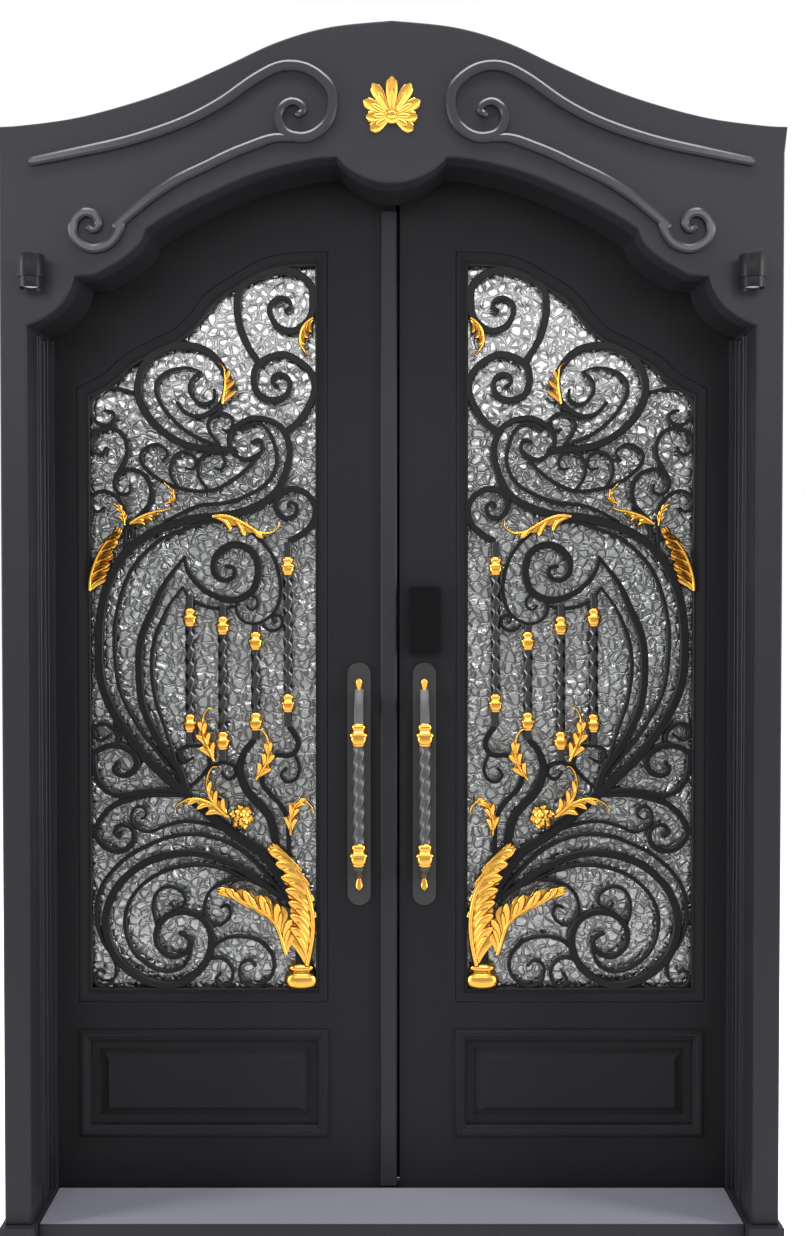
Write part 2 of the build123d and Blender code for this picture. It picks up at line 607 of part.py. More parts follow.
def lattice(side):
    inner, outer, low = window_inner, window_outer, window_bottom
    head = curve(window_head, edge_turn)
    rim = [outline(points, side) for points in (
        ((inner, low), (outer, low), (outer, low + border), (inner, low + border)),
        ((inner, low), (inner + border, low), (inner + border, head[0][1]), (inner, head[0][1])),
        ((outer - border, low), (outer, low), (outer, head[-1][1]), (outer - border, head[-1][1])),
        head + shifted(head, -border)[::-1])]
    window = outline([(inner, low), (outer, low)] + head[::-1], side)
    gaps = [bar_face(x, z0, z1, bar_size, side) for x, z0, z1, _, _ in bar_places()]
    gaps.append(outline(vase_outline(), side))
    scrolls = [outline(ribbon(curve(in_window(scroll[:-1]), turn), scroll[-1]), side)
               for group, turn in ((thick_scrolls + middle_scrolls, thick_turn), (thin_scrolls, thin_turn))
               for scroll in group]
    whole = ((Sketch() + scrolls + rim) & window) - gaps
    return upright(whole, lattice_y, lattice_y + lattice_depth)


def twisted(x, y, z0, z1, size):
    """A square bar twisted about its own length, whole turns of a quarter."""
    quarters = max(1, round((z1 - z0) * twist_turns_per_metre / 1000 * 4))
    count = round(quarters * 90 / twist_section)
    sections = [Plane((x, y, z0 + (z1 - z0) * i / count)) * Rot(0, 0, quarters * 90 * i / count)
                * Rectangle(size, size) for i in range(count + 1)]
    return loft(sections, ruled=True)


def balusters(side):
    shapes = []
    half = bar_size / 2
    for x, z0, z1, low, high in bar_places():
        foot, head = low + collar_height / 2, high - collar_height / 2
        shape = twisted(side * x, bar_y, foot, head, bar_size)
        for end0, end1 in ((z0, foot), (head, z1)):
            shape += block(side * x - half, side * x + half, bar_y - half, bar_y + half, end0, end1)
        shapes.append(shape)
    return Compound(children=shapes)


def collar(x, y, z, size, height, neck, bore):
    """A square collar of three steps around a square bar."""
    middle = Pos(x, y, z)
    shape = middle * Box(size - 2 * neck, size - 2 * neck, height)
    shape += middle * Box(size, size, height * collar_band)
    return shape - middle * Box(bore, bore, 2 * height)


def baluster_collars(side):
    return Compound(children=[collar(side * x, bar_y, z, collar_size, collar_height, collar_neck, bar_size)
                              for x, _, _, low, high in bar_places() for z in (low, high)])


def leaf_outline(spine, half, lobes):
    """Outline of an acanthus leaf: a curved rib with lobes on both sides."""
    count = round(lobes) * 2
    line = curve(in_window(spine), 4, 12)
    picks = [line[round(i * (len(line) - 1) / count)] for i in range(count + 1)]
    widths = []
    for i in range(count + 1):
        t = i / count
        swell = sin(pi * min(1, 0.12 + 0.88 * t) ** 0.9) ** 0.7
        widths.append(max(leaf_tip, half * swell * (1 if i % 2 else notch_share)))
    widths[-1] = leaf_tip
    sides = normals(picks)
    left = [(x + nx * w, z + nz * w) for (x, z), (nx, nz), w in zip(picks, sides, widths)]
    right = [(x - nx * w, z - nz * w) for (x, z), (nx, nz), w in zip(picks, sides, widths)]
    return left + right[::-1]


def gold_foliage(side):
    shape = Sketch() + [outline(leaf_outline(*leaf), side) for leaf in foliage]
    (x, z), = in_window([rose_middle])
    shape += [outline(petal(x, z, 360 * i / rose_petals + 15, 0, rose_radius, rose_radius * 0.42), side)
              for i in range(rose_petals)]
    window = [(window_inner, window_bottom), (window_outer, window_bottom)] + curve(window_head, edge_turn)[::-1]
    plates = upright(shape & outline(window, side), lattice_y - foliage_thickness, lattice_y)
    solids = [solid for solid in plates.solids()]
    solids.append(upright(outline(vase_outline(), side), bar_y - vase_depth / 2, bar_y + vase_depth / 2).solid())
    return Compound(children=solids)


# Pull handles and lock

def handle_plate(side, face_y, way):
    height = handle_top - handle_bottom
    face = Plane((side * handle_x, face_y, (handle_bottom + handle_top) / 2), x_dir=(1, 0, 0), z_dir=(0, way, 0))
    return extrude(face * SlotOverall(height, handle_plate_width, rotation=90), handle_plate_thickness)


def handle_bow(side, face_y, way):
    """A bowed bar: two ends that lean out from the plate, and the grip between the collars."""
    near = face_y + way * handle_plate_thickness
    far = face_y + way * handle_projection
    inner = far - way * handle_bar_size
    low, high = handle_bottom + handle_end_inset, handle_top - handle_end_inset
    side_view = Plane.YZ.offset(side * handle_x - handle_bar_size / 2)
    shapes = []
    for end, grip in ((low, grip_bottom), (high, grip_top)):
        reach = handle_collar_height / 2 * (1 if grip > end else -1)
        bend = grip - reach
        points = [(near, end), (far, end + (bend - end) * 0.8), (far, grip + reach), (inner, grip + reach),
                  (inner, bend), (near, end + (bend - end) * 0.5)]
        shapes.append(extrude(side_view * make_face(Polyline(*points, close=True)), handle_bar_size))
    return shapes, (inner + far) / 2


def front_handle(side):
    ends, grip_y = handle_bow(side, leaf_y, -1)
    reach = handle_collar_height / 2
    return twisted(side * handle_x, grip_y, grip_bottom + reach, grip_top - reach, handle_bar_size) + ends[0] + ends[1]


def rear_handle(side):
    ends, grip_y = handle_bow(side, leaf_back_y, 1)
    half = handle_bar_size / 2
    grip = block(side * handle_x - half, side * handle_x + half, grip_y - half, grip_y + half, grip_bottom, grip_top)
    return grip + ends[0] + ends[1] + handle_plate(side, leaf_back_y, 1)


def handle_collars(side):
    _, grip_y = handle_bow(side, leaf_y, -1)
    return Compound(children=[collar(side * handle_x, grip_y, z, handle_collar_size, handle_collar_height,
                                     collar_neck, handle_bar_size) for z in (grip_bottom, grip_top)])


def lock(face_y, way):
    face = Plane((handle_x, face_y, lock_bottom + lock_height / 2), x_dir=(1, 0, 0), z_dir=(0, way, 0))
    return extrude(face * RectangleRounded(lock_width, lock_height, lock_radius), lock_thickness)


def astragal():
    right = meeting_left + astragal_overhang
    left = right - astragal_width
    front = leaf_y - astragal_thickness
    plan = [(left, leaf_y), (left, front + astragal_round), (left + astragal_round, front),
            (right - astragal_round, front), (right, front + astragal_round), (right, leaf_y)]
    top = in_head([(0, apron[1])])[0][1]
    return bar(plan, sill_height + astragal_end_gap, top - astragal_end_gap)


os.makedirs("parts", exist_ok=True)
save(sill(), "sill")
save(plinths(), "plinths")
save(pediment(), "pediment")
save(soffit(), "head_soffit")
save(head_rail(), "head_rail")
save(head_scrolls(), "head_scrolls")
save(crest(), "crest")
save(downlights(), "downlights")
save(frame_hinges(), "frame_hinges")
for side in (-1, 1):
    name = side_name(side)
    meeting = meeting_left if side < 0 else meeting_right
    bevel = -meeting_bevel_left if side < 0 else meeting_bevel_right
    save(jamb(side), name + "_jamb")
    save(leaf_hinges(side), name + "_leaf_hinges")
    save(stile(side, side * leaf_edge, side * window_outer, 0), name + "_hinge_stile")
    save(stile(side, meeting, side * window_inner, bevel), name + "_meeting_stile")
    save(top_rail(side), name + "_top_rail")
    save(bottom_rail(side), name + "_bottom_rail")
    save(raised_panels(side), name + "_raised_panels")
    save(glass(side), name + "_glass")
    save(lattice(side), name + "_lattice")
    save(balusters(side), name + "_balusters")
    save(baluster_collars(side), name + "_baluster_collars")
    save(gold_foliage(side), name + "_gold_foliage")
    save(handle_plate(side, leaf_y, -1), name + "_handle_plate")
    save(front_handle(side), name + "_front_handle")
    save(handle_collars(side), name + "_handle_collars")
    save(rear_handle(side), name + "_rear_handle")
save(astragal(), "astragal")
save(lock(leaf_y, -1), "front_lock")
save(lock(leaf_back_y, 1), "rear_lock")
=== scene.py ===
from math import ceil, cos, exp, hypot, pi, radians, sin, sqrt

import bmesh
import bpy
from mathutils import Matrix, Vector, noise
from mathutils.geometry import tessellate_polygon


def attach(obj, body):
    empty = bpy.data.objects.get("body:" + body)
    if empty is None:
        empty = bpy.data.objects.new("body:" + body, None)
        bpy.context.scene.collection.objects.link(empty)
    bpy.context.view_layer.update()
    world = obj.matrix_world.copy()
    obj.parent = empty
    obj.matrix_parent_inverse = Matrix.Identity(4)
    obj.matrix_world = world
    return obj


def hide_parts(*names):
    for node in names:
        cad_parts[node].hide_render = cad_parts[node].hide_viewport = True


# Double security door. Lists and sizes are in millimetres: X to the right, Y away from the viewer, Z up.

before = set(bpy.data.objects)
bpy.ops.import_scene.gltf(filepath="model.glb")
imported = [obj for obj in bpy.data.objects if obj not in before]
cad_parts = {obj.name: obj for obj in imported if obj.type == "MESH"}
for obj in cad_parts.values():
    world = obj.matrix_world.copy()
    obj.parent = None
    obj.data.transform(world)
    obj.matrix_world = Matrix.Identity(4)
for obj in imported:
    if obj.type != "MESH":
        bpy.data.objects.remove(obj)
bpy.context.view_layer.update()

# Places shared by the pieces
FRONT_Y = -143.0
SHEET_BACK_Y = -83.0
STOP_Y = 57.0
FRAME_BACK_Y = 143.0
MOULDING_DEPTH = 12.0
LEAF_Y = 63.0
LEAF_BACK_Y = 143.0
LATTICE_Y = 75.0
BAR_Y = 83.0
GLASS_Y = 101.0
GLASS_BACK_Y = 109.0
OPENING = 791.0
STOP_X = 780.0
REBATE_X = 802.0
HALF_WIDTH = 850.0
SHEET_FOOT = 45.0
SPRING = 2012.0
HEAD_EDGE = 2385.0
SOFFIT_TOP = 2440.0
FRAME_TOP = 2470.0
WINDOW_IN, WINDOW_OUT, WINDOW_LOW = 172.0, 710.0, 498.0
LEAF_LOW, LEAF_TOP, LEAF_EDGE = 36.0, 2392.0, 795.0
HANDLE_X = 76.0
HANDLE_PLATE = (704.0, 1271.0, 54.0)
GRIP_LOW, GRIP_TOP = 831.0, 1108.0
GRIP_SIZE, GRIP_REACH = 22.0, 62.0
ARM_ENDS = ((766.0, GRIP_LOW), (1209.0, GRIP_TOP))
LIGHT_X, LIGHT_Y = 773.0, -175.0
CREST_Z = 2463.0
VASE_X = 213.0
# Camera: place in metres and tilt downwards in degrees
CAMERA_PLACE = (0.0, -3.115, 1.440)
CAMERA_DOWN = 1.18

CROWN = ((0, 2669), (134, 2655), (247, 2623), (357, 2573), (469, 2524), (579, 2487), (690, 2459),
         (802, 2444), (856, 2441))
APRON = (154.0, 2319.0, 119.0)
HEAD_SWEEP = ((119, 2375), (181, 2369), (291, 2341), (402, 2294), (486, 2250), (534, 2219))
HEAD_VOLUTE = ((534, 2219), (547, 2189), (582, 2157), (625, 2132), (644, 2122))
HEAD_HOLLOW = ((688, 2118), (699, 2085), (721, 2053), (753, 2029), (791, 2012))
WINDOW_HEAD = ((172, 2199), (232, 2197), (288, 2186), (353, 2151), (413, 2112), (455, 2060),
               (497, 2022), (550, 1997), (610, 1963), (655, 1922), (710, 1893))

# Scrolls of the lattice. Each ends with the widths of its start, its body and its end.
THICK = (
    ((309, 1967), (346, 2029), (360, 2101), (339, 2156), (251, 2183), (193, 2156), (184, 2110),
     (192, 2070), (228, 2043), (266, 2054), (284, 2087), (277, 2110), (257, 2120), (238, 2112),
     (236, 2098), (246, 2090), (16, 17, 8)),
    ((250, 1806), (210, 1840), (180, 1903), (194, 1953), (251, 1988), (309, 1967), (321, 1928),
     (309, 1894), (277, 1882), (249, 1891), (237, 1914), (243, 1935), (262, 1943), (277, 1935),
     (277, 1920), (267, 1915), (16, 16, 8)),
    ((361, 1766), (460, 1773), (520, 1799), (569, 1845), (592, 1905), (573, 1969), (527, 2002),
     (478, 2009), (430, 1995), (395, 1958), (384, 1912), (402, 1870), (444, 1845), (479, 1852),
     (499, 1875), (16, 18, 8)),
    ((330, 1782), (308, 1790), (304, 1762), (345, 1744), (377, 1773), (372, 1812), (323, 1840),
     (262, 1822), (238, 1760), (264, 1678), (312, 1637), (384, 1614), (456, 1607), (540, 1583),
     (612, 1537), (659, 1465), (682, 1370), (683, 1250), (664, 1179), (625, 1109), (572, 1042),
     (505, 979), (440, 923), (372, 868), (305, 822), (256, 757), (226, 684), (216, 621), (214, 560),
     (8, 20, 25)),
    ((241, 1631), (242, 1639), (234, 1644), (223, 1637), (222, 1621), (234, 1609), (251, 1608),
     (266, 1621), (271, 1641), (262, 1662), (240, 1675), (215, 1673), (191, 1656), (178, 1628),
     (185, 1596), (210, 1570), (243, 1552), (7, 14, 16)),
    ((392, 1494), (371, 1493), (368, 1473), (392, 1462), (415, 1480), (411, 1518), (373, 1545),
     (330, 1532), (312, 1490), (326, 1438), (373, 1416), (431, 1435), (473, 1477), (484, 1516),
     (8, 17, 8)),
    ((484, 1516), (529, 1458), (557, 1400), (585, 1331), (592, 1261), (585, 1177), (558, 1109),
     (523, 1051), (497, 1016), (480, 962), (7, 17, 16)),
    ((319, 1092), (346, 1058), (355, 1016), (339, 969), (304, 930), (281, 890), (258, 765),
     (14, 20, 12)),
    ((250, 712), (337, 773), (398, 806), (461, 822), (524, 817), (587, 794), (641, 747), (669, 689),
     (669, 630), (648, 578), (609, 538), (558, 515), (508, 513), (457, 541), (429, 583), (424, 630),
     (445, 668), (487, 684), (529, 672), (552, 642), (550, 604), (520, 578), (483, 588), (475, 618),
     (496, 633), (14, 18, 9)),
)
MIDDLE = (
    ((702, 1056), (671, 1072), (640, 1074), (610, 1061), (597, 1035), (610, 1011), (635, 1005),
     (652, 1020), (642, 1036), (13, 14, 8)),
    ((698, 1064), (697, 1026), (687, 991), (664, 966), (631, 958), (584, 966), (544, 970),
     (495, 966), (12, 13, 9)),
    ((488, 958), (561, 959), (608, 950), (652, 934), (683, 903), (694, 871), (680, 843), (652, 828),
     (622, 832), (606, 852), (607, 876), (624, 888), (645, 884), (650, 868), (638, 862),
     (9, 13, 8)),
)
THIN = (
    ((402, 1774), (479, 1810), (532, 1863), (550, 1912), (527, 1946), (478, 1958), (444, 1948),
     (8, 9, 3)),
    ((446, 1948), (467, 1928), (469, 1898), (444, 1873), (416, 1882), (414, 1906), (6, 9, 6)),
    ((400, 1774), (425, 1810), (426, 1833), (402, 1852), (372, 1840), (377, 1812), (394, 1814),
     (8, 9, 6)),
    ((356, 1812), (312, 1829), (281, 1799), (268, 1739), (291, 1690), (335, 1662), (384, 1644),
     (456, 1635), (530, 1600), (8, 9, 6)),
    ((300, 1768), (347, 1715), (414, 1674), (479, 1674), (539, 1695), (581, 1732), (583, 1762),
     (551, 1780), (523, 1762), (534, 1742), (7, 9, 6)),
    ((490, 990), (549, 1060), (593, 1119), (634, 1198), (648, 1286), (645, 1377), (612, 1481),
     (551, 1549), (491, 1579), (414, 1600), (336, 1579), (282, 1526), (262, 1465), (262, 1422),
     (276, 1387), (302, 1366), (327, 1361), (350, 1369), (363, 1389), (361, 1411), (346, 1426),
     (326, 1427), (314, 1415), (317, 1399), (331, 1393), (339, 1402), (8, 9, 6)),
    ((303, 1361), (292, 1348), (275, 1345), (260, 1352), (256, 1367), (262, 1379), (275, 1380),
     (280, 1372), (274, 1364), (7, 8, 6)),
    ((506, 1036), (532, 1119), (553, 1184), (562, 1261), (553, 1330), (522, 1401), (489, 1446),
     (6, 9, 5)),
    ((489, 1446), (473, 1421), (452, 1408), (426, 1399), (395, 1397), (370, 1402), (5, 9, 7)),
    ((473, 1074), (499, 1064), (490, 1036), (466, 1046), (10, 9, 6)),
    ((475, 1075), (440, 1070), (427, 1037), (436, 1014), (476, 974), (8, 9, 8)),
    ((395, 1036), (416, 1028), (436, 1012), (10, 9, 6)),
    ((398, 1036), (373, 1030), (365, 1007), (384, 996), (398, 1012), (10, 9, 6)),
    ((243, 1122), (224, 1095), (220, 1072), (237, 1053), (274, 1051), (300, 1025), (304, 988),
     (286, 962), (260, 934), (245, 899), (242, 860), (240, 730), (14, 11, 9)),
    ((228, 1056), (216, 1023), (225, 997), (246, 990), (260, 1007), (249, 1020), (7, 8, 6)),
    ((590, 902), (576, 910), (580, 928), (600, 930), (611, 912), (605, 889), (584, 875), (561, 874),
     (532, 886), (480, 897), (420, 886), (366, 862), (316, 822), (6, 8, 8)),
    ((236, 702), (316, 796), (377, 843), (440, 864), (503, 864), (566, 843), (629, 806), (680, 747),
     (694, 679), (682, 621), (655, 576), (648, 541), (663, 513), (684, 508), (699, 524), (690, 546),
     (676, 540), (9, 9, 6)),
    ((290, 738), (398, 785), (461, 794), (524, 783), (578, 754), (615, 710), (627, 656), (611, 597),
     (571, 557), (525, 543), (485, 560), (470, 610), (8, 9, 8)),
    ((600, 1900), (657, 1911), (689, 1897), (704, 1865), (697, 1839), (677, 1825), (657, 1828),
     (646, 1842), (653, 1856), (668, 1858), (8, 9, 6)),
    ((648, 1701), (629, 1731), (617, 1760), (622, 1792), (642, 1813), (668, 1817), (693, 1806),
     (702, 1781), (695, 1761), (677, 1757), (667, 1772), (8, 10, 6)),
    ((608, 1560), (604, 1598), (583, 1620), (564, 1647), (563, 1679), (576, 1706), (602, 1720),
     (631, 1717), (647, 1696), (645, 1676), (631, 1663), (612, 1668), (611, 1684), (9, 10, 6)),
    ((624, 1530), (622, 1615), (631, 1641), (650, 1662), (675, 1671), (696, 1661), (703, 1641),
     (689, 1622), (673, 1631), (9, 9, 6)),
    ((497, 1676), (515, 1706), (515, 1731), (506, 1752), (486, 1762), (465, 1755), (456, 1737),
     (464, 1722), (480, 1724), (7, 8, 5)),
    ((430, 1674), (450, 1704), (451, 1731), (441, 1752), (419, 1762), (398, 1755), (389, 1737),
     (397, 1722), (413, 1724), (7, 8, 5)),
    ((652, 1072), (642, 1093), (654, 1117), (677, 1127), (697, 1116), (695, 1096), (680, 1087),
     (664, 1098), (10, 10, 6)),
    ((551, 648), (561, 696), (550, 731), (519, 743), (489, 726), (487, 702), (508, 691), (520, 703),
     (8, 8, 6)),
    ((338, 760), (386, 756), (424, 735), (440, 696), (429, 663), (403, 653), (379, 675), (387, 698),
     (401, 694), (8, 8, 6)),
    ((428, 594), (391, 620), (349, 625), (307, 612), (279, 576), (282, 534), (319, 508), (352, 520),
     (357, 555), (335, 569), (321, 557), (8, 8, 6)),
    ((432, 572), (398, 574), (375, 550), (379, 517), (399, 507), (413, 524), (403, 536), (8, 8, 6)),
)
# Twisted bars: x, bottom, top, middles of the two collars
BARS = ((473, 1078, 1428, 1128, 1376), (396, 1040, 1404, 1087, 1357), (319, 1090, 1356, 1132, 1321),
        (243, 1120, 1551, 1175, 1496))

# Gold leaves: middle line from root to tip, greatest half width, lobes, and the side they are on:
# 1 left of the line, -1 right of it, 0 both
FOLIAGE = (
    (((214, 562), (203, 655), (214, 735), (253, 810), (284, 842)), 33, 7, -1),
    (((236, 866), (236, 905), (224, 938), (202, 946), (186, 930), (182, 908)), 15, 3, 0),
    (((236, 590), (262, 668), (326, 710), (406, 738)), 26, 5, 1),
    (((376, 914), (408, 945), (426, 975), (430, 1004), (420, 1024), (408, 1026)), 17, 3, 1),
    (((394, 904), (428, 932), (462, 946), (490, 944), (506, 930), (504, 918)), 17, 3, -1),
    (((416, 1040), (430, 1072), (441, 1104), (442, 1138), (432, 1160), (418, 1164)), 18, 3, 0),
    (((318, 996), (298, 1026), (288, 1056), (290, 1088), (300, 1110), (314, 1114)), 17, 3, 0),
    (((694, 1436), (687, 1475), (668, 1530), (632, 1584)), 24, 5, 1),
    (((622, 1590), (628, 1622), (644, 1638), (668, 1642)), 9, 2, 0),
    (((606, 1588), (575, 1606), (545, 1620), (512, 1630)), 15, 3, 1),
    (((528, 1640), (510, 1652), (510, 1668), (532, 1692)), 7, 2, 0),
    (((418, 1602), (384, 1600), (345, 1584), (312, 1570), (284, 1572), (264, 1586), (262, 1602)),
     19, 3, 1),
    (((386, 1870), (379, 1900), (381, 1932), (392, 1960), (408, 1970)), 18, 3, 1),
    (((178, 2066), (200, 2044), (208, 2016), (200, 1992), (186, 1984)), 16, 3, -1),
)
ROSE = (352.0, 908.0)
UPPER_SCROLL = ((784, 2362), (680, 2383), (568, 2408), (457, 2445), (373, 2487), (291, 2543),
                (235, 2568), (181, 2562), (137, 2528), (127, 2490), (137, 2450), (164, 2424),
                (196, 2415), (229, 2425), (244, 2454), (238, 2478), (218, 2492), (196, 2486),
                (190, 2472), (202, 2464))
LOWER_BAND = ((212, 2413), (238, 2415), (262, 2412), (291, 2402), (347, 2380), (401, 2354),
              (458, 2327), (514, 2292), (557, 2258), (586, 2233), (600, 2219))
LOWER_VOLUTE = ((583, 2238), (588, 2219), (597, 2201), (612, 2186), (638, 2177), (662, 2181),
                (682, 2197), (689, 2219), (682, 2241), (665, 2254), (646, 2252), (634, 2239),
                (635, 2224), (646, 2216), (655, 2222))


# Materials

def material(name, color, rough, metal=0.0, coat=0.0, coat_rough=0.1):
    made = bpy.data.materials.new(name)
    made.use_nodes = True
    shader = made.node_tree.nodes["Principled BSDF"]
    shader.inputs["Base Color"].default_value = (*color, 1)
    shader.inputs["Roughness"].default_value = rough
    shader.inputs["Metallic"].default_value = metal
    shader.inputs["Coat Weight"].default_value = coat
    shader.inputs["Coat Roughness"].default_value = coat_rough
    return made


def node(tree, kind, **values):
    """A new shader node. Its inputs are set by name, its own settings by names in small letters."""
    made = tree.nodes.new("ShaderNode" + kind)
    for key, value in values.items():
        if key.islower():
            setattr(made, key, value)
        else:
            made.inputs[key.replace("_", " ")].default_value = value
    return made


def bumped(made, scale, strength):
    """A fine grain of paint or casting."""
    tree = made.node_tree
    place = node(tree, "TexCoord")
    grain = node(tree, "TexNoise", Scale=scale, Detail=3)
    bump = node(tree, "Bump", Strength=strength, Distance=0.001)
    tree.links.new(place.outputs["Object"], grain.inputs["Vector"])
    tree.links.new(grain.outputs["Fac"], bump.inputs["Height"])
    tree.links.new(bump.outputs["Normal"], tree.nodes["Principled BSDF"].inputs["Normal"])
    return made


def crackled(made):
    """Ice-like cells with raised middles and a fine swell, and painted shade: dark lines in the grooves
    between the cells.
    """
    tree = made.node_tree
    shader = tree.nodes["Principled BSDF"]
    shader.inputs["Specular IOR Level"].default_value = 1.0
    shader.inputs["IOR"].default_value = 1.8
    place = node(tree, "TexCoord").outputs["Object"]
    wave = node(tree, "TexNoise", Scale=40)
    shift = node(tree, "VectorMath", operation="SCALE", Scale=0.014)
    bent = node(tree, "VectorMath", operation="ADD")
    cell = node(tree, "TexVoronoi", feature="DISTANCE_TO_EDGE", Scale=46)
    swell = node(tree, "TexNoise", Scale=70)
    dome = node(tree, "MapRange", interpolation_type="SMOOTHSTEP", From_Max=0.22)
    line = node(tree, "MapRange", interpolation_type="SMOOTHSTEP", From_Max=0.11)
    height = node(tree, "Math", operation="MULTIPLY_ADD")
    height.inputs[1].default_value = 2.0
    bump = node(tree, "Bump", Strength=0.9, Distance=0.0026)
    # Painted shade: the colour darkens towards the grooves along the cell edges.
    groove_shade = node(tree, "Mix", data_type="RGBA", A=(0.010, 0.012, 0.012, 1), B=(0.105, 0.115, 0.113, 1))
    join = tree.links.new
    join(place, swell.inputs["Vector"])
    join(place, wave.inputs["Vector"])
    join(place, bent.inputs[0])
    join(wave.outputs["Color"], shift.inputs[0])
    join(shift.outputs["Vector"], bent.inputs[1])
    join(bent.outputs["Vector"], cell.inputs["Vector"])
    join(cell.outputs["Distance"], dome.inputs["Value"])
    join(cell.outputs["Distance"], line.inputs["Value"])
    join(dome.outputs["Result"], height.inputs[0])
    join(swell.outputs["Fac"], height.inputs[2])
    join(height.outputs["Value"], bump.inputs["Height"])
    join(bump.outputs["Normal"], shader.inputs["Normal"])
    join(line.outputs["Result"], groove_shade.inputs["Factor"])
    join(groove_shade.outputs["Result"], shader.inputs["Base Color"])
    return made


PAINT = bumped(material("charcoal_paint", (0.0155, 0.0155, 0.0185), 0.44, 0.2), 900, 0.05)
# Darker copy of the charcoal paint: painted shade on the leaves, set back behind the casings and under
# the head, and on the soffit.
SHADED_PAINT = bumped(material("charcoal_paint_painted_shade", (0.011, 0.011, 0.0122), 0.45, 0.1), 900, 0.05)
# Charcoal paint, glossier and in a lighter colour: the lighter colour is painted light on the raised head
# scrolls.
BAND_PAINTED_LIGHT = bumped(material("band_paint_painted_light", (0.019, 0.019, 0.0225), 0.24, 0.2), 900, 0.05)
IRON = bumped(material("black_iron", (0.008, 0.008, 0.009), 0.36, 0.1), 350, 0.10)
GOLD = bumped(material("antique_gold", (0.46, 0.245, 0.045), 0.27, 1.0), 260, 0.12)
# The glass's base colour carries painted shade in the grooves of its cells.
GLASS = crackled(material("textured_glass", (0.075, 0.083, 0.082), 0.20, 0.0, 1.0, 0.16))
GLOSS = material("black_gloss", (0.003, 0.003, 0.0035), 0.10)
PLATE = material("handle_black", (0.028, 0.028, 0.029), 0.30, 0.3)
GRIP = bumped(material("handle_grey", (0.030, 0.030, 0.033), 0.42, 0.3), 400, 0.06)
TWIST = bumped(material("twisted_iron", (0.008, 0.008, 0.009), 0.20, 0.2), 350, 0.08)
STEEL = material("hinge_steel", (0.35, 0.35, 0.36), 0.35, 1.0)
# Charcoal paint in a lighter grey for the sill's top: painted light where the lamps from above fall.
SILL_PAINTED_LIGHT = bumped(material("sill_grey_painted_light", (0.17, 0.17, 0.20), 0.42, 0.2), 900, 0.05)
RUBBER = material("black_rubber", (0.006, 0.006, 0.006), 0.7)
LENS = material("lamp_lens", (0.55, 0.55, 0.56), 0.12)
for paint, level in ((PAINT, 0.10), (SHADED_PAINT, 0.04), (IRON, 0.08), (BAND_PAINTED_LIGHT, 0.25), (GLOSS, 0.06),
                     (PLATE, 0.15)):
    paint.node_tree.nodes["Principled BSDF"].inputs["Specular IOR Level"].default_value = level


# Mesh making

def placed(name, data):
    """A new object in the scene."""
    piece = bpy.data.objects.new(name, data)
    bpy.context.scene.collection.objects.link(piece)
    return piece


def mesh(name, verts, faces, finish, body, nodes=(), turn=32.0, flat=()):
    """A piece from points in millimetres. Edges sharper than turn degrees stay sharp, and so do those
    round flat faces."""
    data = bpy.data.meshes.new(name)
    data.from_pydata([(x / 1000, y / 1000, z / 1000) for x, y, z in verts], [], faces)
    plain = data.attributes.new("plain", "BOOLEAN", "FACE")
    for i in flat:
        plain.data[i].value = True
    piece = placed(name, data)
    data.materials.append(finish)
    work = bmesh.new()
    work.from_mesh(data)
    bmesh.ops.remove_doubles(work, verts=work.verts, dist=0.000002)
    bmesh.ops.recalc_face_normals(work, faces=work.faces)
    plain = work.faces.layers.bool["plain"]
    for face in work.faces:
        face.smooth = not face[plain]
    for edge in work.edges:
        sides = edge.link_faces
        edge.smooth = (len(sides) == 2 and edge.calc_face_angle(0) < radians(turn)
                       and sides[0][plain] == sides[1][plain])
    work.to_mesh(data)
    work.free()
    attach(piece, body)
    if nodes:
        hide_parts(*nodes)
    return piece


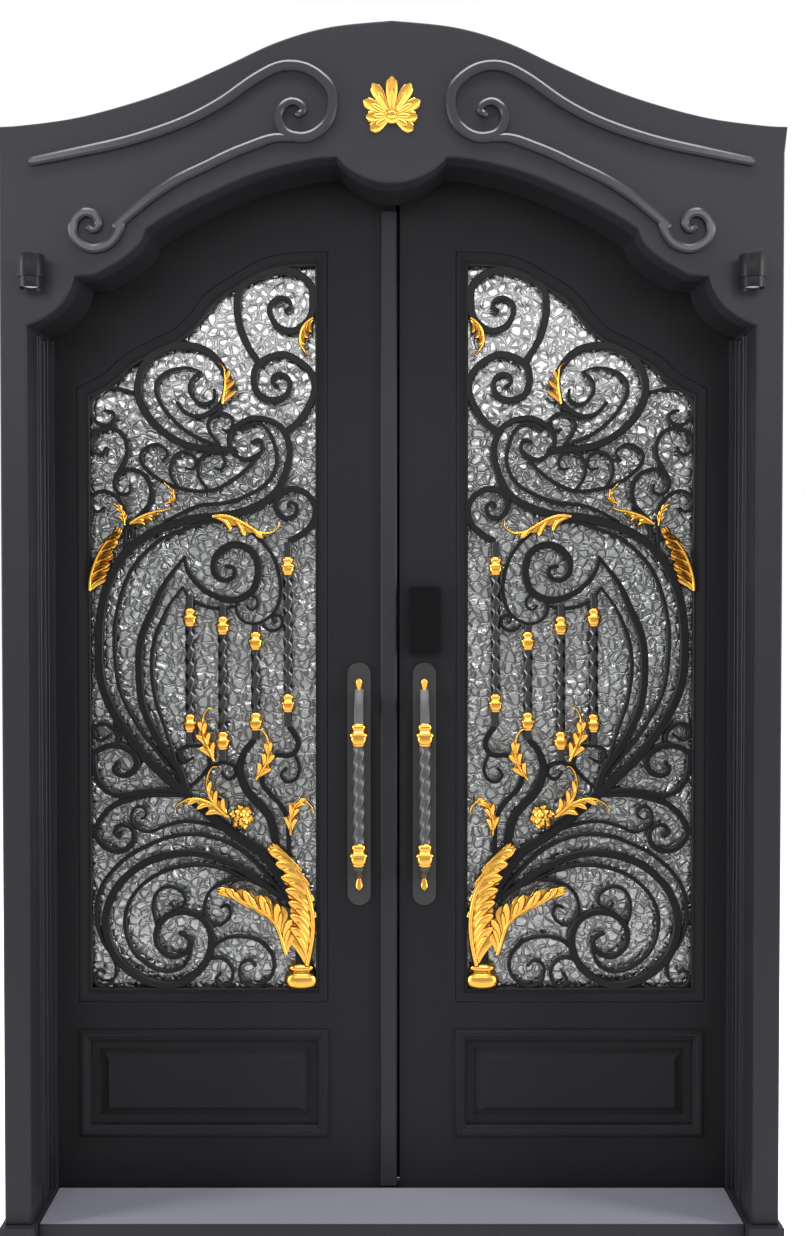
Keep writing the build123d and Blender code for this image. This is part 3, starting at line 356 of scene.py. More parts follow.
class Build:
    """Points and faces gathered for one piece."""

    def __init__(self):
        self.verts, self.faces, self.flat = [], [], []

    def add(self, verts, faces):
        base = len(self.verts)
        self.verts += verts
        self.faces += [tuple(base + i for i in face) for face in faces]

    def rows(self, rows, closed=True, caps=True):
        """Rows of equally many points joined by quads, around a closed section or an open one."""
        n = len(rows[0])
        verts = [p for row in rows for p in row]
        faces = []
        for r in range(len(rows) - 1):
            for i in range(n if closed else n - 1):
                j = (i + 1) % n
                faces.append((r * n + i, r * n + j, (r + 1) * n + j, (r + 1) * n + i))
        if caps and closed:
            faces.append(tuple(range(n)))
            faces.append(tuple(range((len(rows) - 1) * n, len(rows) * n)))
        self.add(verts, faces)

    def upright(self, plan, low, top, side=1):
        """A plan in x and y drawn up between two heights."""
        self.rows([[(side * x, y, z) for x, y in plan] for z in (low, top)])

    def turned(self, x, z, profile, y, count, side=1):
        """A turned form about an axis in y: profile of (radius, shift in y)."""
        rows = [[(side * (x + r * cos(2 * pi * i / count)), y + d, z + r * sin(2 * pi * i / count))
                 for i in range(count)] for r, d in profile]
        self.rows(rows)

    def loop(self, points, profile, side=1):
        """A profile of (outward shift, y) swept round a closed outline in x and z."""
        rows = [[(side * x, y, z) for x, z in grown(points, shift)] for shift, y in profile]
        self.rows(rows, caps=False)

    def fill(self, outlines, y, side=1):
        """A flat face with holes."""
        flat = [[Vector((side * x, z, 0)) for x, z in points] for points in outlines]
        verts = [(p.x, y, p.y) for points in flat for p in points]
        faces = [tuple(t) for t in tessellate_polygon(flat)]
        self.flat += range(len(self.faces), len(self.faces) + len(faces))
        self.add(verts, faces)

    def box(self, x0, x1, y0, y1, z0, z1, edge=1.0):
        """A block with small bevels."""
        x0, x1 = min(x0, x1), max(x0, x1)
        y0, y1 = min(y0, y1), max(y0, y1)
        points = [(x0, z0), (x1, z0), (x1, z1), (x0, z1)]
        self.solid(points, y0, y1, edge)

    def solid(self, points, y0, y1, edge=1.0, side=1, back_edge=None):
        """An outline in x and z between two depths, its edges bevelled."""
        back_edge = edge if back_edge is None else back_edge
        profile = [(-edge, y0), (-edge * 0.3, y0 + edge * 0.3), (0, y0 + edge)]
        profile += [(0, y1 - back_edge), (-back_edge, y1)]
        self.loop(points, profile, side)
        self.fill([grown(points, -edge)], y0, side)
        self.fill([grown(points, -back_edge)], y1, side)

    def lathe(self, x, y, profile, count):
        """A turned form about an upright axis: profile of (radius, z)."""
        rows = [[(x + r * cos(2 * pi * i / count), y + r * sin(2 * pi * i / count), z)
                 for i in range(count)] for r, z in profile]
        self.rows(rows)

    def done(self, name, finish, body, nodes=(), turn=32.0, slot=None):
        return mesh(name, self.verts, self.faces, finish, body, nodes, turn, self.flat)


def area(points):
    """Area of a closed outline, above 0 when it runs anticlockwise."""
    return sum(a[0] * b[1] - b[0] * a[1] for a, b in zip(points, points[1:] + points[:1])) / 2


def grown(points, shift):
    """A closed outline moved outwards by shift, with mitred corners."""
    if not shift:
        return list(points)
    way = 1 if area(points) > 0 else -1
    result = []
    for i, (x, z) in enumerate(points):
        (xa, za), (xb, zb) = points[i - 1], points[(i + 1) % len(points)]
        la, lb = hypot(x - xa, z - za), hypot(xb - x, zb - z)
        na = ((z - za) / la * way, -(x - xa) / la * way)
        nb = ((zb - z) / lb * way, -(xb - x) / lb * way)
        share = 1 + na[0] * nb[0] + na[1] * nb[1]
        share = max(share, 0.35)
        result.append((x + (na[0] + nb[0]) / share * shift, z + (na[1] + nb[1]) / share * shift))
    return result


def curve(points, step, passes=0):
    """Points of a smooth curve through the given ones, rounded further by a number of passes."""
    ends = [points[0]] + list(points) + [points[-1]]
    line = []
    for a, b, c, d in zip(ends, ends[1:], ends[2:], ends[3:]):
        count = max(2, ceil(hypot(c[0] - b[0], c[1] - b[1]) / step))
        for i in range(count):
            t = i / count
            line.append(tuple(0.5 * (2 * q + (r - p) * t + (2 * p - 5 * q + 4 * r - s) * t * t
                                     + (3 * q - p - 3 * r + s) * t ** 3)
                              for p, q, r, s in zip(a, b, c, d)))
    line.append(tuple(points[-1]))
    once = rounded(line, passes)
    twice = rounded(once, passes)
    return [(2 * a[0] - b[0], 2 * a[1] - b[1]) for a, b in zip(once, twice)]


def rounded(line, passes):
    """A line whose inner points are drawn towards their neighbours a number of times."""
    for _ in range(passes):
        inner = [((a[0] + 2 * b[0] + c[0]) / 4, (a[1] + 2 * b[1] + c[1]) / 4)
                 for a, b, c in zip(line, line[1:], line[2:])]
        line = [line[0]] + inner + [line[-1]]
    return line


def normals(line):
    """The direction to the left of a line at each of its points."""
    result = []
    for i in range(len(line)):
        (x0, z0), (x1, z1) = line[max(i - 1, 0)], line[min(i + 1, len(line) - 1)]
        length = hypot(x1 - x0, z1 - z0)
        result.append((-(z1 - z0) / length, (x1 - x0) / length))
    return result


def lengths(line):
    """The length of a line up to each of its points."""
    total, result = 0.0, [0.0]
    for (x0, z0), (x1, z1) in zip(line, line[1:]):
        total += hypot(x1 - x0, z1 - z0)
        result.append(total)
    return result


def strip(build, line, widths, section, side, y, taper=0.3):
    """A bar with round ends swept along a line. section lists (share of the half width, inset in mm,
    depth behind y)."""
    start, body, end = widths
    along = lengths(line)
    total = along[-1]
    rows = []
    for (x, z), (nx, nz), s in zip(line, normals(line), along):
        t = s / total
        width = body
        if t < taper:
            width = start + (body - start) * t / taper
        elif t > 1 - taper:
            width = end + (body - end) * (1 - t) / taper
        half = width / 2
        for gap in (s, total - s):
            if gap < half:
                half = max(0.15, sqrt(half * half - (half - gap) ** 2))
        row = []
        for share, inset, depth in section:
            reach = share * half
            if inset:
                reach = max(abs(reach) - inset, 0.0) * (1 if share > 0 else -1)
            row.append((side * (x + nx * reach), y + depth, z + nz * reach))
        rows.append(row)
    build.rows(rows)


def flat_section(depth, edge):
    """A flat bar whose front edges are rounded."""
    return ((-1, 0, depth), (-1, 0, edge), (-1, edge, 0), (1, edge, 0), (1, 0, edge), (1, 0, depth))


def eye(build, x, z, radius, y, depth, side):
    """The round boss in which a scroll ends."""
    profile = [(radius, depth), (radius, 2.2), (radius * 0.86, 0.5), (radius * 0.55, -0.9),
               (radius * 0.12, -1.4)]
    build.turned(x, z, profile, y, 14, side)


# Frame

def mirrored(points):
    """The other half of a line that crosses the middle."""
    return [(-x, z) for x, z in points if x > 0.01]


def head_line():
    """The lower edge of the head from its middle to the right jamb."""
    radius, low, half = APRON
    step = 6.0
    arc = []
    count = 16
    for i in range(count):
        x = half * i / count
        arc.append((x, low + radius - sqrt(radius ** 2 - x ** 2)))
    arc += curve(HEAD_SWEEP, step)[:-1] + curve(HEAD_VOLUTE, step)[:-1]
    return arc + [HEAD_VOLUTE[-1], HEAD_HOLLOW[0]] + curve(HEAD_HOLLOW, step)[1:]


def portal_outline():
    """The front of the whole frame: head and casings in one sheet."""
    top = curve(CROWN, 12.0) + [(HALF_WIDTH, HEAD_EDGE)]
    right = [(HALF_WIDTH, SHEET_FOOT), (OPENING, SHEET_FOOT)] + head_line()[::-1]
    left = mirrored(head_line()) + [(-OPENING, SHEET_FOOT), (-HALF_WIDTH, SHEET_FOOT)]
    return right + left + mirrored(top[::-1]) + top


def jamb_plan():
    """Section of a jamb with its stop and two flutes."""
    plan = [(HALF_WIDTH, SHEET_BACK_Y), (HALF_WIDTH, STOP_Y), (STOP_X, STOP_Y), (STOP_X, STOP_Y - 23),
            (OPENING - 1.5, STOP_Y - 23), (OPENING, STOP_Y - 25)]
    for start, width in ((141, 36), (88, 26)):
        a, b = FRONT_Y + start, FRONT_Y + start + width
        plan += [(OPENING, b + 1.5), (OPENING + 1.5, b), (OPENING + 5, b - 0.5), (OPENING + 7, b - 3),
                 (OPENING + 7, a + 3), (OPENING + 5, a + 0.5), (OPENING + 1.5, a), (OPENING, a - 1.5)]
    return plan + [(OPENING, SHEET_BACK_Y)]


def make_portal():
    """Head and casings with the jambs behind them."""
    build = Build()
    points = portal_outline()
    build.loop(points, [(-4, FRONT_Y), (-2.6, FRONT_Y + 0.4), (-0.9, FRONT_Y + 1.8), (0, FRONT_Y + 4),
                        (0, SHEET_BACK_Y - 1), (-1, SHEET_BACK_Y)])
    build.fill([grown(points, -4)], FRONT_Y)
    build.fill([grown(points, -1)], SHEET_BACK_Y)
    inner = HALF_WIDTH - 2
    head_side = [(inner, SHEET_BACK_Y - 1), (HALF_WIDTH, SHEET_BACK_Y - 1), (HALF_WIDTH, STOP_Y + 1),
                 (inner, STOP_Y + 1)]
    rebate = [(REBATE_X, STOP_Y), (HALF_WIDTH, STOP_Y), (HALF_WIDTH, FRAME_BACK_Y),
              (REBATE_X, FRAME_BACK_Y)]
    for side in (-1, 1):
        build.upright(jamb_plan(), SHEET_FOOT, SPRING, side)
        build.upright(head_side, SPRING, SOFFIT_TOP, side)
        build.upright(rebate, 0, FRAME_TOP, side)
    build.done("portal_skin", PAINT, "frame", ["pediment", "left_jamb", "right_jamb"])


def make_soffit():
    """The underside behind the head, 8 mm above its edge."""
    build = Build()
    line = [(x, min(z + 8, SOFFIT_TOP)) for x, z in head_line()]
    line[-1] = (OPENING, SPRING + 8)
    wide = HALF_WIDTH - 1.0
    points = [(wide, SPRING), (OPENING, SPRING)] + line[::-1] + mirrored(line)
    points += [(-OPENING, SPRING), (-wide, SPRING), (-wide, SOFFIT_TOP), (wide, SOFFIT_TOP)]
    build.loop(points, [(0, SHEET_BACK_Y), (0, STOP_Y)])
    build.fill([points], SHEET_BACK_Y)
    build.fill([points], STOP_Y)
    # The soffit takes the darker paint: painted shade under the head.
    build.done("soffit", SHADED_PAINT, "frame", ["head_soffit"], slot="charcoal_paint")


def make_mouldings():
    """Raised scrolls of the head with chamfered edges."""
    build = Build()
    depth, edge, slope = MOULDING_DEPTH, 4.6, 2.1
    section = ((-1, 0, depth), (-1, 0, slope), (-1, edge, 0), (1, edge, 0), (1, 0, slope), (1, 0, depth))
    for side in (-1, 1):
        for points, widths, back, boss in ((UPPER_SCROLL, (17, 21, 12), 0.0, 6.2),
                                           (LOWER_BAND, (15, 20, 19), 0.4, 0),
                                           (LOWER_VOLUTE, (19, 18, 11), 0.2, 5.6)):
            strip(build, curve(points, 3.5, 8), widths, section, side, FRONT_Y - depth + back, taper=0.16)
            if boss:
                eye(build, *points[-1], boss, FRONT_Y - depth, depth, side)
    # The scrolls take the lighter band paint: painted light on their raised faces.
    build.done("head_mouldings", BAND_PAINTED_LIGHT, "frame", ["head_scrolls"], turn=20, slot="charcoal_paint")


def petal(build, x, z, angle, near, far, half, front, rise, side, back):
    """A pointed petal with a sharp rib and a domed body."""
    steps, across = 10, 4
    direction = radians(angle)
    ux, uz = cos(direction), sin(direction)
    rows = []
    for i in range(steps + 1):
        t = i / steps
        width = half * (sin(pi * (0.10 + 0.90 * t) ** 0.8) ** 0.75 if t < 1 else 0.0)
        width = max(width, 0.25)
        reach = near + (far - near) * t
        row = []
        for j in range(-across, across + 1):
            u = j / across
            lift = rise * (1 - abs(u) ** 1.7) * (0.35 + 0.65 * sin(pi * min(1, 0.15 + 0.8 * t)))
            lift += rise * 0.28 * exp(-(u / 0.22) ** 2)
            row.append((side * (x + ux * reach - uz * width * u), front - lift - 0.8,
                        z + uz * reach + ux * width * u))
        row.append((side * (x + ux * reach - uz * width), back, z + uz * reach + ux * width))
        row.append((side * (x + ux * reach + uz * width), back, z + uz * reach - ux * width))
        rows.append(row)
    build.rows(rows)


def make_crest():
    """Palmette of nine double lobes round a button."""
    build = Build()
    z = CREST_Z
    for i in range(9):
        angle = -34 + 248 * i / 8
        length = 84.0 * (0.66 + 0.34 * sin(radians(max(0, min(180, angle)))))
        ux, uz = cos(radians(angle)), sin(radians(angle))
        for share, half, lift in ((1.0, 12.5, 0.0), (0.72, 6.0, 2.6)):
            root = (ux * 10, z + uz * 10)
            tip = (ux * length * share, z + uz * length * share)
            knee = (tip[0] * 0.55, z + (tip[1] - z) * 0.55)
            lobe(build, root, knee, tip, half, FRONT_Y - 1.0 - lift, 2.2, 1)
    button = [(17, 0), (17, -3.5), (15.6, -5.2), (13.4, -5.6), (12, -4.6), (10.4, -4.8), (8.5, -6.2),
              (5, -6.9), (1, -7)]
    build.turned(0, z, button, FRONT_Y, 28)
    build.done("crest_palmette", GOLD, "frame", ["crest"], turn=28)


def make_downlights():
    """Two small lights with short arms under the ends of the head."""
    build = Build()
    glow = Build()
    for side in (-1, 1):
        x, y = side * LIGHT_X, LIGHT_Y
        build.lathe(x, y, [(26.5, 2157), (28.3, 2156.4), (29, 2155), (29, 2109), (28.2, 2107.3),
                           (26, 2107), (26, 2104), (26, 2087), (25.2, 2085.4), (23.6, 2085), (23, 2086),
                           (22.6, 2098)], 40)
        build.box(x - 8, x + 8, y, FRONT_Y, 2123, 2139, 1)
        glow.lathe(x, y, [(22.2, 2097.6), (22.2, 2092), (16, 2089.6), (6, 2088.6), (1, 2088.5)], 32)
    build.done("corner_lights", IRON, "frame", ["downlights"], slot="black_iron")
    glow.done("corner_light_lenses", LENS, "frame", slot="black_iron")


# Leaves

def window_line(step=6.0):
    """Outline of the window opening."""
    return [(WINDOW_IN, WINDOW_LOW), (WINDOW_OUT, WINDOW_LOW)] + curve(WINDOW_HEAD, step)[::-1]


def rect(x0, x1, z0, z1):
    return [(x0, z0), (x1, z0), (x1, z1), (x0, z1)]


# Mouldings round a raised panel: shift inwards and depth behind the face of the leaf
PANEL_MOULD = ((0, 0), (0, -4.5), (-1.2, -6.2), (-3.6, -7.2), (-7, -8), (-12, -7.2), (-16.5, -4.6),
               (-20, -2.6), (-22.5, -2.4), (-24, -1.0), (-25, 1.5), (-25, 10), (-47, 10))
PANEL_FIELD = ((-47, 10), (-48.5, 8.6), (-50, 8.2), (-67, -0.6), (-67.6, -1.8), (-69, -2))


def make_leaf(name, body, side):
    """Stiles, rails and raised panels in one skin."""
    build = Build()
    inner_front = -9.0 if side < 0 else 18.0
    inner_back = -6.0 if side < 0 else 24.0
    front = rect(inner_front, LEAF_EDGE, LEAF_LOW, LEAF_TOP)
    back = rect(inner_back, LEAF_EDGE, LEAF_LOW, LEAF_TOP)
    window = window_line()
    panel = rect(148, 730, 160, 411)
    bead = 25.0
    y0, y1 = LEAF_Y, LEAF_BACK_Y
    build.fill([grown(front, -1.5), grown(window, bead), panel], y0, side)
    build.loop(window, [(bead, y0), (bead - 1.2, y0 + 0.7), (bead - 1.6, y0 + 2.6),
                        (bead - 2.6, y0 + 2.6), (bead - 3.6, y0 + 1.3), (bead - 6.5, y0 + 0.8),
                        (bead - 9.5, y0 + 1.6), (6.5, y0 + 8.2), (3.5, y0 + 9.0), (3.0, y0 + 11),
                        (0, y0 + 12), (0, GLASS_Y)], side)
    rows = []
    for shift, y, share in ((-1.5, y0, 0), (-0.4, y0 + 0.4, 0.01), (0, y0 + 1.5, 0.02),
                            (0, y1 - 1.5, 0.98), (-1.5, y1, 1)):
        between = [(fx + (bx - fx) * share, fz) for (fx, fz), (bx, bz) in zip(front, back)]
        rows.append([(side * x, y, z) for x, z in grown(between, shift)])
    build.rows(rows, caps=False)
    build.loop(window, [(0, GLASS_BACK_Y), (0, y1 - 3), (1, y1 - 1), (3, y1)], side)
    build.fill([grown(back, -1.5), grown(window, 3), panel], y1, side)
    for face, way in ((y0, 1), (y1, -1)):
        for profile in (PANEL_MOULD, PANEL_FIELD):
            build.loop(panel, [(shift, face + way * depth) for shift, depth in profile], side)
        build.fill([grown(panel, -69)], face - way * 2, side)
    # The leaf skin takes the darker paint: painted shade in its recess behind the casings and under the
    # head.
    build.done(name + "_leaf_skin", SHADED_PAINT, body,
               [name + "_hinge_stile", name + "_meeting_stile", name + "_top_rail", name + "_bottom_rail",
                name + "_raised_panels"], slot="charcoal_paint")


def make_glass(name, body, side):
    """The pane, with a gently swelling front."""
    build = Build()
    pane = grown(window_line(16.0), 10.0)
    head = curve(WINDOW_HEAD, 8.0)
    step = 4.4
    x0, x1 = WINDOW_IN - 8, WINDOW_OUT + 8
    nx = int((x1 - x0) / step)

    def top(x):
        """Height of the sheet's upper edge."""
        for (xa, za), (xb, zb) in zip(head, head[1:]):
            if xa <= x <= xb:
                return za + (zb - za) * (x - xa) / (xb - xa) + 8
        return (head[0][1] if x < head[0][0] else head[-1][1]) + 6

    nz = 370
    rows = []
    for j in range(nz + 1):
        row = []
        for i in range(nx + 1):
            x = x0 + (x1 - x0) * i / nx
            z = WINDOW_LOW - 8 + (top(x) - WINDOW_LOW + 8) * j / nz
            place = Vector((side * x / 24.0, 0.0, z / 24.0))
            near, _ = noise.voronoi(place, distance_metric="DISTANCE", exponent=2.5)
            lift = 1.0 * max(0.0, 1 - (near[0] / 0.75) ** 2) + 0.2 * noise.noise(place * 2.1)
            row.append((side * x, GLASS_Y + 1.5 - lift, z))
        rows.append(row)
    build.rows(rows, closed=False)
    build.solid(pane, GLASS_Y + 2.2, GLASS_BACK_Y, 0.5, side)
    build.done(name + "_pane", GLASS, body, [name + "_glass"], turn=60)


def make_lattice(name, body, side):
    """The scrolls and the border round them."""
    build = Build()
    window = window_line()
    border = [(0, 16), (0, 1.0), (-1.0, 0.2), (-5.0, 0.2), (-6, 1.2), (-6, 16), (0, 16)]
    build.loop(window, [(shift, LATTICE_Y + depth) for shift, depth in border], side)
    for group, offset, edge in ((THICK, 0.0, 1.7), (MIDDLE, 0.5, 1.5), (THIN, 1.4, 1.3)):
        for count, scroll in enumerate(group):
            y = LATTICE_Y + offset + 0.12 * (count % 7)
            section = flat_section(14.0 - offset * 0.5, edge)
            line = curve(scroll[:-1], 3.0, 12)
            strip(build, line, scroll[-1], section, side, y)
            x, z = scroll[-2]
            if scroll[-1][2] <= 9 and scroll[-1][1] > scroll[-1][2]:
                eye(build, x, z, scroll[-1][2] * 0.62, y, 13, side)
    build.done(name + "_scrollwork", IRON, body, [name + "_lattice"], turn=20)


def twisted_rows(x, y, z0, z1, size, turns):
    """Sections of a twisted square bar with softened corners."""
    half = size / 2
    corner = size * 0.17
    plan = []
    for quarter in range(4):
        a = radians(90 * quarter)
        for px, py in ((half, 0.0), (half, half - corner),
                       (half - corner * 0.3, half - corner * 0.3), (half - corner, half)):
            plan.append((px * cos(a) - py * sin(a), px * sin(a) + py * cos(a)))
    count = max(2, round((z1 - z0) / 2.2))
    rows = []
    for i in range(count + 1):
        t = i / count
        a = 2 * pi * turns * t
        rows.append([(x + px * cos(a) - py * sin(a), y + px * sin(a) + py * cos(a), z0 + (z1 - z0) * t)
                     for px, py in plan])
    return rows


# Profile of a collar: share of the height and of the radius
BEAD = ((0.0, 0.5), (0.02, 0.6), (0.07, 0.68), (0.1, 0.7), (0.12, 0.67), (0.14, 0.73), (0.24, 0.82),
        (0.36, 0.84), (0.42, 0.82), (0.44, 0.9), (0.46, 0.99), (0.49, 1.0), (0.54, 0.97),
        (0.6, 0.84), (0.65, 0.71), (0.68, 0.66), (0.71, 0.67), (0.74, 0.72), (0.82, 0.74),
        (0.9, 0.69), (0.96, 0.55), (1.0, 0.36))


def bead(build, x, y, z, radius, height, squash):
    """A turned collar, squarer in plan the larger squash is: a cup, a wide disc and a ball on top."""
    count = 32
    rows = []
    for share, width in BEAD:
        row = []
        for i in range(count):
            a = 2 * pi * i / count
            reach = radius * width / (abs(cos(a)) ** squash + abs(sin(a)) ** squash) ** (1 / squash)
            row.append((x + reach * cos(a), y + reach * 0.88 * sin(a), z - height / 2 + height * share))
        rows.append(row)
    build.rows(rows)


def make_bars(name, body, side):
    """Twisted bars with plain ends and two collars each."""
    iron, gold = Build(), Build()
    half = 8.6
    end_section = [(-half, -half + 2), (-half + 2, -half), (half - 2, -half), (half, -half + 2),
                   (half, half), (-half, half)]
    for x, z0, z1, low, high in BARS:
        foot, head = low + 23, high - 23
        quarters = max(1, round((head - foot) * 7.5 / 1000 * 4))
        iron.rows(twisted_rows(side * x, BAR_Y, foot - 4, head + 4, 18.0, quarters / 4))
        plan = [(side * x + px, BAR_Y + py) for px, py in end_section]
        iron.upright(plan, z0, foot)
        iron.upright(plan, head, z1)
        for z in (low, high):
            bead(gold, side * x, BAR_Y, z, 18.6, 44, 2.8)
    iron.done(name + "_twisted_bars", TWIST, body, [name + "_balusters"], turn=55, slot="black_iron")
    gold.done(name + "_bar_collars", GOLD, body, [name + "_baluster_collars"], turn=40)


def lobe(build, root, knee, tip, half, front, rise, side):
    """One lobe of a leaf: a tongue bent from root over knee to tip, domed, with a rolled end."""
    steps, across = 9, 4
    line = []
    for i in range(steps + 1):
        t = i / steps
        line.append(tuple((1 - t) ** 2 * a + 2 * t * (1 - t) * b + t * t * c
                          for a, b, c in zip(root, knee, tip)))
    rows = []
    for i, ((x, z), (nx, nz)) in enumerate(zip(line, normals(line))):
        t = i / steps
        width = half * (0.42 + 0.58 * min(1, t / 0.6))
        if t > 0.78:
            width *= sqrt(max(0.02, 1 - ((t - 0.78) / 0.224) ** 2))
        row = []
        for j in range(-across, across + 1):
            u = j / across
            lift = rise * sqrt(max(0, 1 - u * u)) * (0.40 + 0.60 * t)
            lift += rise * 0.9 * t * t
            row.append((side * (x + nx * width * u), front - lift, z + nz * width * u))
        row.append((side * (x + nx * width * 0.9), front + 3.0, z + nz * width * 0.9))
        row.append((side * (x - nx * width * 0.9), front + 3.0, z - nz * width * 0.9))
        rows.append(row)
    build.rows(rows)


def acanthus(build, spine, half, lobes, way, side, front):
    """A leaf along a spine with lobes on one flank or both. A slender one ends in a tendril."""
    line = curve(spine, 2.0)
    along = lengths(line)
    total = along[-1]
    sides = normals(line)
    slender = half < 20
    body = 0.74 if slender else 1.0

    def swell(t):
        """Width of the leaf at t along it."""
        share = sin(pi * min(1, 0.14 + 0.83 * max(0.0, t) / body) ** 0.9)
        return max(0.10, max(0.0, share) ** 0.6)

    def at(t, share=0.0):
        """A point on the leaf: t along it, share of the half width to the left."""
        t = min(max(t, 0.0), 1.0)
        i = min(range(len(along)), key=lambda k: abs(along[k] - t * total))
        (x, z), (nx, nz) = line[i], sides[i]
        return x + nx * half * swell(t) * share, z + nz * half * swell(t) * share

    rib = -0.70 * way
    steps, across = lobes * 9, 7
    for reach in ([way] if way else [-1, 1]):
        rows = []
        for i in range(steps + 1):
            t = body * i / steps
            ripple = abs(sin(pi * lobes * t / body)) ** 0.7
            edge = (0.66 + 0.34 * ripple) * (0.62 if slender else 1.0)
            row = []
            for j in range(across + 1):
                v = j / across
                x, z = at(t * 0.93 + 0.10 * v ** 1.5, rib + (reach - rib) * v * edge)
                lift = 2.4 + half * 0.13 * (1 - v ** 2.2)
                lift += (1.2 + half * 0.07) * v * (ripple - 0.35)
                row.append((side * x, front - lift, z))
            x, z = at(t * 0.93 + 0.10, rib + (reach - rib) * edge)
            row.append((side * x, front + 2.5, z))
            x, z = at(t * 0.93, rib)
            row.append((side * x, front + 2.5, z))
            rows.append(row)
        build.rows(rows)
        for k in range(lobes):
            t0 = body * (0.02 + 0.80 * k / lobes)
            t1 = t0 + 0.27
            width = min(total * body / lobes * 0.40 + 1.0, half * 0.42)
            root, tip = at(t0, rib), at(t1, reach)
            knee = at(t0 + 0.19, rib + (reach - rib) * 0.26)
            lobe(build, root, knee, tip, width, front - 2.0 - 0.35 * (k % 2), 3.2 + width * 0.45, side)
            if slender:
                continue
            tip = at(t1 - 0.07, rib + (reach - rib) * 0.74)
            knee = at(t0 + 0.13, rib + (reach - rib) * 0.25)
            lobe(build, root, knee, tip, width * 0.62, front - 3.6, 3.0 + width * 0.4, side)
    steps = max(10, int(total / 4))
    rows = []
    for i in range(steps + 1):
        t = i / steps
        x, z = at(t, rib * (1 - 0.6 * t))
        xa, za = at(t - 0.03, rib * (1 - 0.6 * (t - 0.03)))
        xb, zb = at(t + 0.03, rib * (1 - 0.6 * (t + 0.03)))
        length = max(hypot(xb - xa, zb - za), 0.001)
        nx, nz = -(zb - za) / length, (xb - xa) / length
        width = (2.2 + half * 0.15) * max(0.16, (1 - t ** 3) ** 0.5)
        row = []
        for a in range(9):
            turn = pi * a / 8
            row.append((side * (x + nx * width * cos(turn)),
                        front - 1.5 - (width * 1.1 + 2.6) * sin(turn),
                        z + nz * width * cos(turn)))
        row.append((side * (x - nx * width), front + 3, z - nz * width))
        row.append((side * (x + nx * width), front + 3, z + nz * width))
        rows.append(row)
    build.rows(rows)
    if slender:
        return
    x, z = at(1.0, 0)
    nx, nz = sides[-1]
    for spread, lift in ((-0.5, 1.2), (0.5, 1.2), (0.0, 2.2)):
        tip = (x + nx * half * spread * 0.5, z + nz * half * spread * 0.5)
        lobe(build, at(0.72, rib * 0.6), at(0.88, spread * 0.5), tip, half * 0.20 + 1.2, front - lift,
             3.5 + half * 0.08, side)


def make_foliage(name, body, side):
    """Gold leaves, the rose and the vase."""
    build = Build()
    for spine, half, lobes, way in FOLIAGE:
        acanthus(build, spine, half, lobes, way, side, LATTICE_Y)
    x, z = ROSE
    for count, length, width, rise, lift, turn in ((6, 33, 12, 5, 1, 15), (6, 24, 10, 5, 4.5, 45),
                                                   (5, 14, 7, 4, 7.5, 10)):
        for i in range(count):
            petal(build, x, z, 360 * i / count + turn, 1.5, length, width, LATTICE_Y - lift, rise, side,
                  LATTICE_Y + 2)
    z0 = WINDOW_LOW + 6
    profile = ((14, 0), (26, 0), (34, 3), (39, 9), (40, 18), (38, 27), (32, 34), (25, 37), (22, 38.5),
               (21, 40), (24, 41.5), (30, 43.5), (32, 46), (32, 50), (30, 53), (25, 55), (19, 58.5),
               (15, 59))
    count = 44
    rows = []
    for r, h in profile:
        row = []
        for i in range(count):
            a = 2 * pi * i / count
            depth = 0.58 if sin(a) < 0 else 0.34
            row.append((side * (VASE_X + r * cos(a)), BAR_Y + r * sin(a) * depth, z0 + h))
        rows.append(row)
    build.rows(rows)
    build.done(name + "_acanthus", GOLD, body, [name + "_gold_foliage"], turn=42)


def stadium(x, z0, z1, width):
    """An upright outline with round ends."""
    half = width / 2
    turns = [pi * i / 18 for i in range(19)]
    points = [(x + half * cos(a), z1 - half + half * sin(a)) for a in turns]
    return points + [(x + half * cos(pi + a), z0 + half + half * sin(pi + a)) for a in turns]


def arm_view(face, inner, far, end, grip, lean=0, slim=0):
    """Side view of the curved arm between a plate and the grip."""
    way = 1 if grip > end else -1
    bend = grip - way * 28
    beyond = grip + way * 28
    return [(face, end), (far + lean, end + (bend - end) * 0.8), (far + slim, beyond),
            (inner - slim, beyond), (inner - lean, bend), (face, end + (bend - end) * 0.5)]


